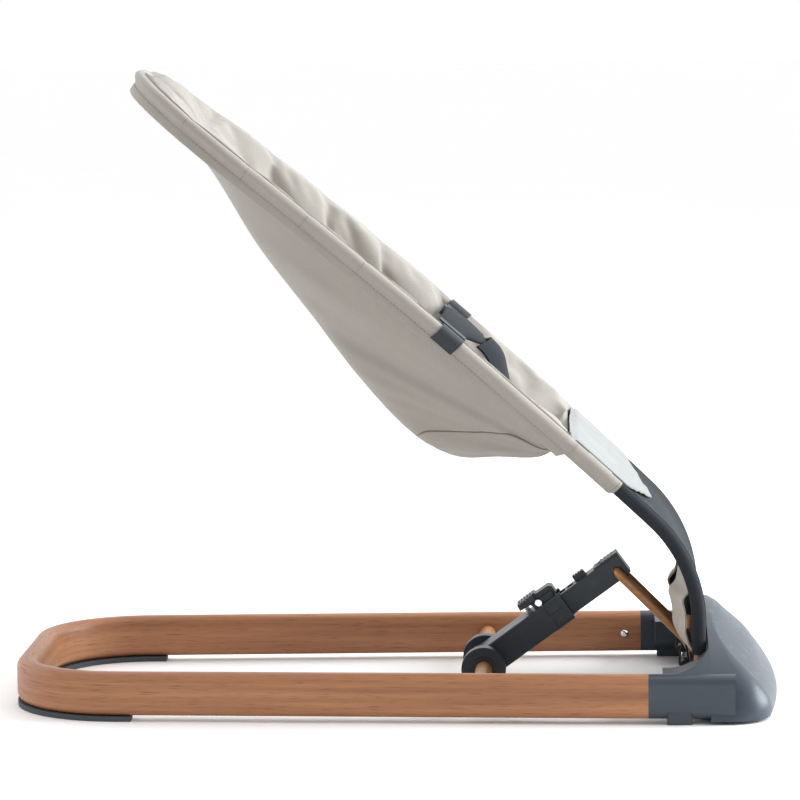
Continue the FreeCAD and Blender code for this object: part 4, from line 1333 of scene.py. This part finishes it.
def inflate(made: bpy.types.Object, pressure: float, cap: float, frames: int = 20) -> None:
    """Puffs a padded piece by cloth simulation and keeps the result.

    Args:
        made: the piece, with a vertex group named held.
        pressure: the air pressure inside.
        cap: the farthest that a point may move, in metres.
        frames: steps of the simulation.
    """
    scene = bpy.context.scene
    rest = [v.co.copy() for v in made.data.vertices]
    cloth = made.modifiers.new("stuffing", "CLOTH")
    settings = cloth.settings
    settings.quality = 6
    settings.mass = 0.25
    settings.tension_stiffness = 12
    settings.compression_stiffness = 12
    settings.shear_stiffness = 4
    settings.bending_stiffness = 1.2
    settings.shrink_min = -0.035
    settings.use_pressure = True
    settings.uniform_pressure_force = pressure
    settings.vertex_group_mass = "held"
    settings.effector_weights.gravity = 0.0
    cloth.collision_settings.use_collision = False
    cloth.point_cache.frame_start = 1
    cloth.point_cache.frame_end = frames
    for step in range(1, frames + 1):
        scene.frame_set(step)
    shaped = made.evaluated_get(bpy.context.evaluated_depsgraph_get())
    moved = [v.co.copy() for v in shaped.data.vertices]
    made.modifiers.remove(cloth)
    for vert, old, new in zip(made.data.vertices, rest, moved):
        shift = new - old
        if shift.length > cap:
            shift *= cap / shift.length
        vert.co = old + shift
    soft = bmesh.new()
    soft.from_mesh(made.data)
    for _ in range(2):
        bmesh.ops.smooth_vert(soft, verts=soft.verts[:], factor=0.4, use_axis_x=True,
                              use_axis_y=True, use_axis_z=True)
    soft.to_mesh(made.data)
    soft.free()
    scene.frame_set(1)


# ---------------------------------------------------------------- harness
@dataclass
class Harness:
    """Lap harness: loops on the frame, side straps, belly pad and crotch strap."""

    finishes: Finishes
    x: float = 0.055
    strap_half: float = 0.0125
    buckle_y: float = 0.082
    thickness: float = 0.0016

    def place(self, u: float, y: float, lift: float) -> Vector:
        """A point in the harness's own axes: u down the seat, y across, lift out of it."""
        s = SHAPE.distance_at(self.x)
        x, z, angle = SHAPE.profile(s)
        down = Vector((math.cos(angle), 0, -math.sin(angle)))
        return Vector((x, y, z)) + down * u + SHAPE.normal(s) * lift

    def build(self) -> None:
        """Makes every piece of the harness."""
        for side, name in ((1, "left"), (-1, "right")):
            self.loop(side, name)
            self.side_strap(side, name)
        self.belly()
        self.crotch()

    def loop(self, side: int, name: str) -> None:
        """Webbing wrapped round the casing, with a sewn tail."""
        y = side * SHAPE.half_width(SHAPE.distance_at(self.x))
        inner = 0.0074
        casing_tail = 0.0095

        def place(u: float, v: float) -> Vector:
            """Point of the wrap: v round it, u along the tube."""
            angle = 2 * math.pi * v
            out, up = math.cos(angle), math.sin(angle)
            if up < 0:
                reach = casing_tail
                lift = up * reach
                swing = out * (inner * (1 - 0.62 * min(1.0, -up * 1.1)))
            else:
                lift = up * inner
                swing = out * inner
            skew = 0.0012 * math.sin(angle + 0.6)
            return self.place((u - 0.5) * 2 * self.strap_half + skew, y + side * swing, lift)

        piece = Piece("strap_loop_" + name + "_webbing").surface(12, 40, place, (0.025, 0.045))
        bmesh.ops.remove_doubles(piece.bm, verts=piece.bm.verts[:], dist=1e-6)
        piece.outward()
        bmesh.ops.solidify(piece.bm, geom=piece.bm.faces[:], thickness=-self.thickness * 0.8)

        def tail(u: float, v: float) -> Vector:
            """Point of the tail that carries the side strap."""
            across = y - side * (0.0076 + 0.0125 * v)
            return self.place((u - 0.5) * 2 * self.strap_half, across, 0.0010 * (1 - v))

        tail_piece = Piece("tail").surface(12, 8, tail, (0.025, 0.014))
        tail_piece.outward()
        bmesh.ops.solidify(tail_piece.bm, geom=tail_piece.bm.faces[:], thickness=self.thickness)
        data = bpy.data.meshes.new("tail")
        tail_piece.bm.to_mesh(data)
        tail_piece.bm.free()
        piece.bm.from_mesh(data)
        bpy.data.meshes.remove(data)
        piece.outward().finish(Body.SEAT, Slot.WEBBING, self.finishes[Slot.WEBBING],
                               ["strap_loop_" + name], 50.0)

    def side_strap(self, side: int, name: str) -> None:
        """Strap between the frame's loop and the buckle's plug."""
        outer = SHAPE.half_width(SHAPE.distance_at(self.x)) - 0.0204
        inner = self.buckle_y + 0.0232

        def place(u: float, v: float) -> Vector:
            """Point of the strap."""
            y = side * (outer + (inner - outer) * v)
            bow = 0.0010 * math.sin(math.pi * v)
            return self.place((u - 0.5) * 2 * self.strap_half, y, bow)

        piece = Piece("side_strap_" + name + "_webbing").surface(12, 14, place, (0.025, 0.03))
        piece.outward()
        bmesh.ops.solidify(piece.bm, geom=piece.bm.faces[:], thickness=self.thickness)
        made = piece.outward().finish(Body.SEAT, Slot.WEBBING, self.finishes[Slot.WEBBING],
                                      ["side_strap_" + name], 50.0)
        anchor = self.place(0, side * outer, 0)
        tuple(anchor)
        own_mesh(made)

    def belly(self) -> None:
        """Padded bridge over the lap."""
        def edge_low(y: float) -> float:
            """Lower edge of the pad at a side position."""
            return 0.014 + 0.022 * (1 - blend_step(0.012, 0.060, abs(y)))

        def half(y: float) -> float:
            """Half length of the pad at a side position."""
            return (edge_low(y) + 0.016) / 2

        def face(sign: int) -> Place:
            """Upper or lower face of the pad."""
            def place(u: float, v: float) -> Vector:
                """Point of the pad's face."""
                y = (2 * v - 1) * 0.0645
                middle = (edge_low(y) - 0.016) / 2
                offset = (2 * u - 1)
                rim = min(1.0, (1 - abs(offset)) / 0.16, (1 - abs(2 * v - 1)) / 0.10)
                crown = math.sqrt(max(0.0, rim)) * 0.0024
                crown += 0.0022 * (1 - offset * offset) * (1 - abs(2 * v - 1) ** 3)
                groove = 0.0010 * math.exp(-((1 - abs(offset) - 0.16) / 0.03) ** 2)
                lift = sign * crown - (sign * groove if sign > 0 else 0)
                arch = 0.0085 * (1 - (2 * v - 1) ** 2)
                return self.place(middle + offset * half(y), y, lift + arch + 0.0004 * sign)
            return place

        piece = Piece("belly_pad")
        piece.surface(26, 54, face(1), (0.05, 0.13))
        piece.surface(26, 54, face(-1), (0.05, 0.13))
        rims = [e for e in piece.bm.edges if e.is_boundary]
        bmesh.ops.bridge_loops(piece.bm, edges=rims)
        made = piece.outward().finish(Body.SEAT, Slot.WEBBING, self.finishes[Slot.ANTHRACITE],
                                      ["belly_panel"], 60.0)

    def crotch(self) -> None:
        """Strap panel that comes up between the legs."""
        line = [Vector((0.0920, 0, 0.3490)), Vector((0.1035, 0, 0.3370)),
                Vector((0.1085, 0, 0.3110)), Vector((0.1120, 0, 0.2850)),
                Vector((0.1140, 0, 0.2530))]

        def place(u: float, v: float) -> Vector:
            """Point of the panel."""
            across = 2 * u - 1
            base = rounded_run(line, v, 0.08)
            half = 0.030 - 0.004 * math.sin(math.pi * v)
            curl = 0.013 * across * across
            return base + Vector((-curl, across * half, -0.35 * curl))

        piece = Piece("crotch_strap").surface(24, 40, place, (0.06, 0.10))
        piece.outward()
        bmesh.ops.solidify(piece.bm, geom=piece.bm.faces[:], thickness=0.0028)
        made = piece.outward().finish(Body.SEAT, Slot.ANTHRACITE,
                                      self.finishes[Slot.ANTHRACITE], ["crotch_panel"], 70.0)


# ---------------------------------------------------------------- elastic loops
@dataclass
class ElasticLoops:
    """Elastic cords that hold the flaps down to their pins."""

    finishes: Finishes
    radius: float = 0.0011

    def build(self) -> None:
        """Makes both loops."""
        for side, name in ((1, "left"), (-1, "right")):
            node = "elastic_loop_" + name
            low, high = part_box(node)
            centre = Vector(((low.x + high.x) / 2, (low.y + high.y) / 2, 0))
            half = (high.x - low.x) / 2 - self.radius

            def line(share: float, low: Vector = low, high: Vector = high,
                     centre: Vector = centre, half: float = half) -> Vector:
                """Point of the cord: down one leg, round the pin and up the other."""
                bend = low.z + self.radius + half
                if share < 0.3:
                    t = share / 0.3
                    pull = (1 - t) ** 2 * 0.6
                    return Vector((centre.x - half * (1 - pull), centre.y,
                                   high.z - 0.001 + (bend - high.z + 0.001) * t))
                if share > 0.7:
                    t = (1 - share) / 0.3
                    pull = (1 - t) ** 2 * 0.6
                    return Vector((centre.x + half * (1 - pull), centre.y,
                                   high.z - 0.001 + (bend - high.z + 0.001) * t))
                angle = math.pi + (share - 0.3) / 0.4 * math.pi
                return Vector((centre.x + half * math.cos(angle), centre.y,
                               bend + half * math.sin(angle)))

            def place(u: float, v: float, line: Callable[[float], Vector] = line) -> Vector:
                """Point of the cord's skin."""
                here = line(v)
                ahead = line(min(1.0, v + 0.01)) - line(max(0.0, v - 0.01))
                along = ahead.normalized()
                across = Vector((0, 1, 0))
                out = along.cross(across).normalized()
                angle = 2 * math.pi * u
                twist = 1 + 0.06 * math.sin(angle * 3 + v * 220)
                return here + (across * math.cos(angle) + out * math.sin(angle)) * (
                    self.radius * twist)

            piece = Piece(node + "_cord").surface(12, 90, place, (0.007, 0.06), True)
            made = piece.close().finish(Body.BASE, Slot.ELASTIC, self.finishes[Slot.ELASTIC],
                                        [node], 60.0, ride=False)
            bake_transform(made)


# ---------------------------------------------------------------- stop spring
@dataclass
class StopSpring:
    """Coil under the stop button, swept to the size of its CAD spring."""

    finishes: Finishes
    node: str = "stop_spring"
    joint: str = "stop_button_press"
    wire: float = 0.00025
    turns: float = 4.5

    def build(self) -> None:
        """Makes the coil along the button's own travel."""
        axis = press_axis(self.joint)
        shape = frame["nodes"][self.node]
        points = [shape.matrix_world @ v.co for v in shape.data.vertices]
        middle = sum(points, Vector((0, 0, 0))) / len(points)
        ends = [(p - middle).dot(axis) for p in points]
        low, high = min(ends) + self.wire, max(ends) - self.wire
        radius = max(((p - middle) - axis * (p - middle).dot(axis)).length for p in points)
        across = axis.orthogonal().normalized()
        over = axis.cross(across)
        reach = radius - self.wire

        def place(u: float, v: float) -> Vector:
            """Point of the wire's skin."""
            turn, skin = 2 * math.pi * self.turns * v, 2 * math.pi * u
            out = across * math.cos(turn) + over * math.sin(turn)
            centre = middle + axis * (low + (high - low) * v) + out * reach
            return centre + (out * math.cos(skin) + axis * math.sin(skin)) * self.wire

        piece = Piece("stop_spring_coil").surface(8, 150, place, (0.0016, 0.05), True)
        made = piece.close().finish(Body.UPPER_ARM, Slot.STEEL, self.finishes[Slot.STEEL],
                                    [self.node], 60.0)
        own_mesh(made)


def press_axis(joint: str) -> Vector:
    """Direction of a joint in the world.

    Args:
        joint: its name.

    Returns:
        The unit axis.
    """
    for entry in frame["record"]["behaviour"]["joints"]:
        if entry["name"] == joint:
            return Vector(entry["axis"]).normalized()
    raise KeyError(joint)


# ---------------------------------------------------------------- studio
@dataclass
class Studio:
    """Pale floor, soft lights and the camera."""

    eye: Vector = field(default_factory=lambda: Vector((0.16164, -3.71837, 0.67761)))
    yaw: float = -0.042742
    pitch: float = 0.103937
    roll: float = -0.0096845
    lens: float = 169.8

    def build(self) -> None:
        """Sets up everything around the object."""
        self.floor()
        self.world()
        self.light("top_softbox", Vector((0.2, 0.9, 3.2)), 4.0, 30.0, (1.0, 1.0, 1.0))
        self.light("foot_softbox", Vector((3.1, 0.4, 1.3)), 2.2, 200.0, (0.90, 0.96, 1.0))
        self.light("head_softbox", Vector((-3.0, 1.0, 1.2)), 2.4, 16.0, (0.96, 0.98, 1.0))
        self.camera()

    def floor(self) -> None:
        """Wide pale floor."""
        shape = bmesh.new()
        bmesh.ops.create_circle(shape, cap_ends=True, segments=96, radius=40.0)
        data = bpy.data.meshes.new("studio_floor")
        shape.to_mesh(data)
        shape.free()
        floor = bpy.data.objects.new("studio_floor", data)
        bpy.context.scene.collection.objects.link(floor)
        made, graph, shader, place = start_material("pale_floor")
        mottle = graph.noise(place.outputs["Object"], 1.5, 2.0)
        graph.link(graph.mix(mottle, (0.93, 0.93, 0.93), (0.95, 0.95, 0.95)),
                   shader.inputs["Base Color"])
        shader.inputs["Roughness"].default_value = 0.6
        shader.inputs["Specular IOR Level"].default_value = 0.2
        data.materials.append(made)

    def world(self) -> None:
        """White surroundings, brighter behind and above the object than in front of it."""
        world = bpy.data.worlds.new("studio")
        bpy.context.scene.world = world
        world.use_nodes = True
        graph = Graph(world.node_tree)
        world.node_tree.nodes.clear()
        output = graph.add("ShaderNodeOutputWorld")
        place = graph.add("ShaderNodeTexCoord")
        split = graph.add("ShaderNodeSeparateXYZ")
        graph.link(place.outputs["Generated"], split.inputs[0])
        back = graph.math("MULTIPLY_ADD", split.outputs[1], 0.30, 0.92)
        level = graph.math("MULTIPLY_ADD", split.outputs[2], 0.16, back)
        soft = graph.add("ShaderNodeBackground")
        soft.inputs["Color"].default_value = (1.0, 1.0, 1.0, 1)
        graph.link(level, soft.inputs["Strength"])
        plain = graph.add("ShaderNodeBackground")
        plain.inputs["Color"].default_value = (1, 1, 1, 1)
        plain.inputs["Strength"].default_value = 1.0
        path = graph.add("ShaderNodeLightPath")
        mix = graph.add("ShaderNodeMixShader")
        graph.link(path.outputs["Is Camera Ray"], mix.inputs[0])
        graph.link(soft.outputs[0], mix.inputs[1])
        graph.link(plain.outputs[0], mix.inputs[2])
        graph.link(mix.outputs[0], output.inputs["Surface"])

    def light(self, name: str, place: Vector, size: float, power: float, colour: Colour) -> None:
        """Adds a soft area light aimed at the object.

        Args:
            name: the light's name.
            place: where it stands.
            size: its width.
            power: its power in watts.
            colour: its colour.
        """
        data = bpy.data.lights.new(name, "AREA")
        data.size = size
        data.energy = power
        data.color = colour
        lamp = bpy.data.objects.new(name, data)
        lamp.location = place
        target = Vector((0.0, 0.0, 0.3))
        lamp.rotation_mode = "QUATERNION"
        lamp.rotation_quaternion = (target - place).to_track_quat("-Z", "Y")
        bpy.context.scene.collection.objects.link(lamp)

    def camera(self) -> None:
        """Camera level with the head, square to the side."""
        data = bpy.data.cameras.new("side_camera")
        data.lens = self.lens
        data.sensor_width = 36.0
        data.clip_end = 200.0
        camera = bpy.data.objects.new("side_camera", data)
        forward = Vector((math.sin(self.yaw) * math.cos(self.pitch),
                          math.cos(self.yaw) * math.cos(self.pitch), -math.sin(self.pitch)))
        level = Vector((math.cos(self.yaw), -math.sin(self.yaw), 0))
        above = level.cross(forward)
        right = level * math.cos(self.roll) + above * math.sin(self.roll)
        up = above * math.cos(self.roll) - level * math.sin(self.roll)
        rows = Matrix((right, up, -forward)).transposed().to_4x4()
        camera.matrix_world = Matrix.Translation(self.eye) @ rows
        bpy.context.scene.collection.objects.link(camera)
        bpy.context.scene.camera = camera
        bpy.context.scene.view_settings.view_transform = "Standard"


def main() -> None:
    """Builds every sub-assembly in order."""
    logging.basicConfig(level=logging.INFO, format="%(message)s")
    Studio().build()
    finishes = Finishes()
    finishes.dress_nodes()
    for maker in (FloorBase, FrameCasing, SeatCover, Harness, ElasticLoops, StopSpring):
        LOG.info("building %s", maker.__name__)
        maker(finishes).build()


if __name__ == "__main__":
    main()
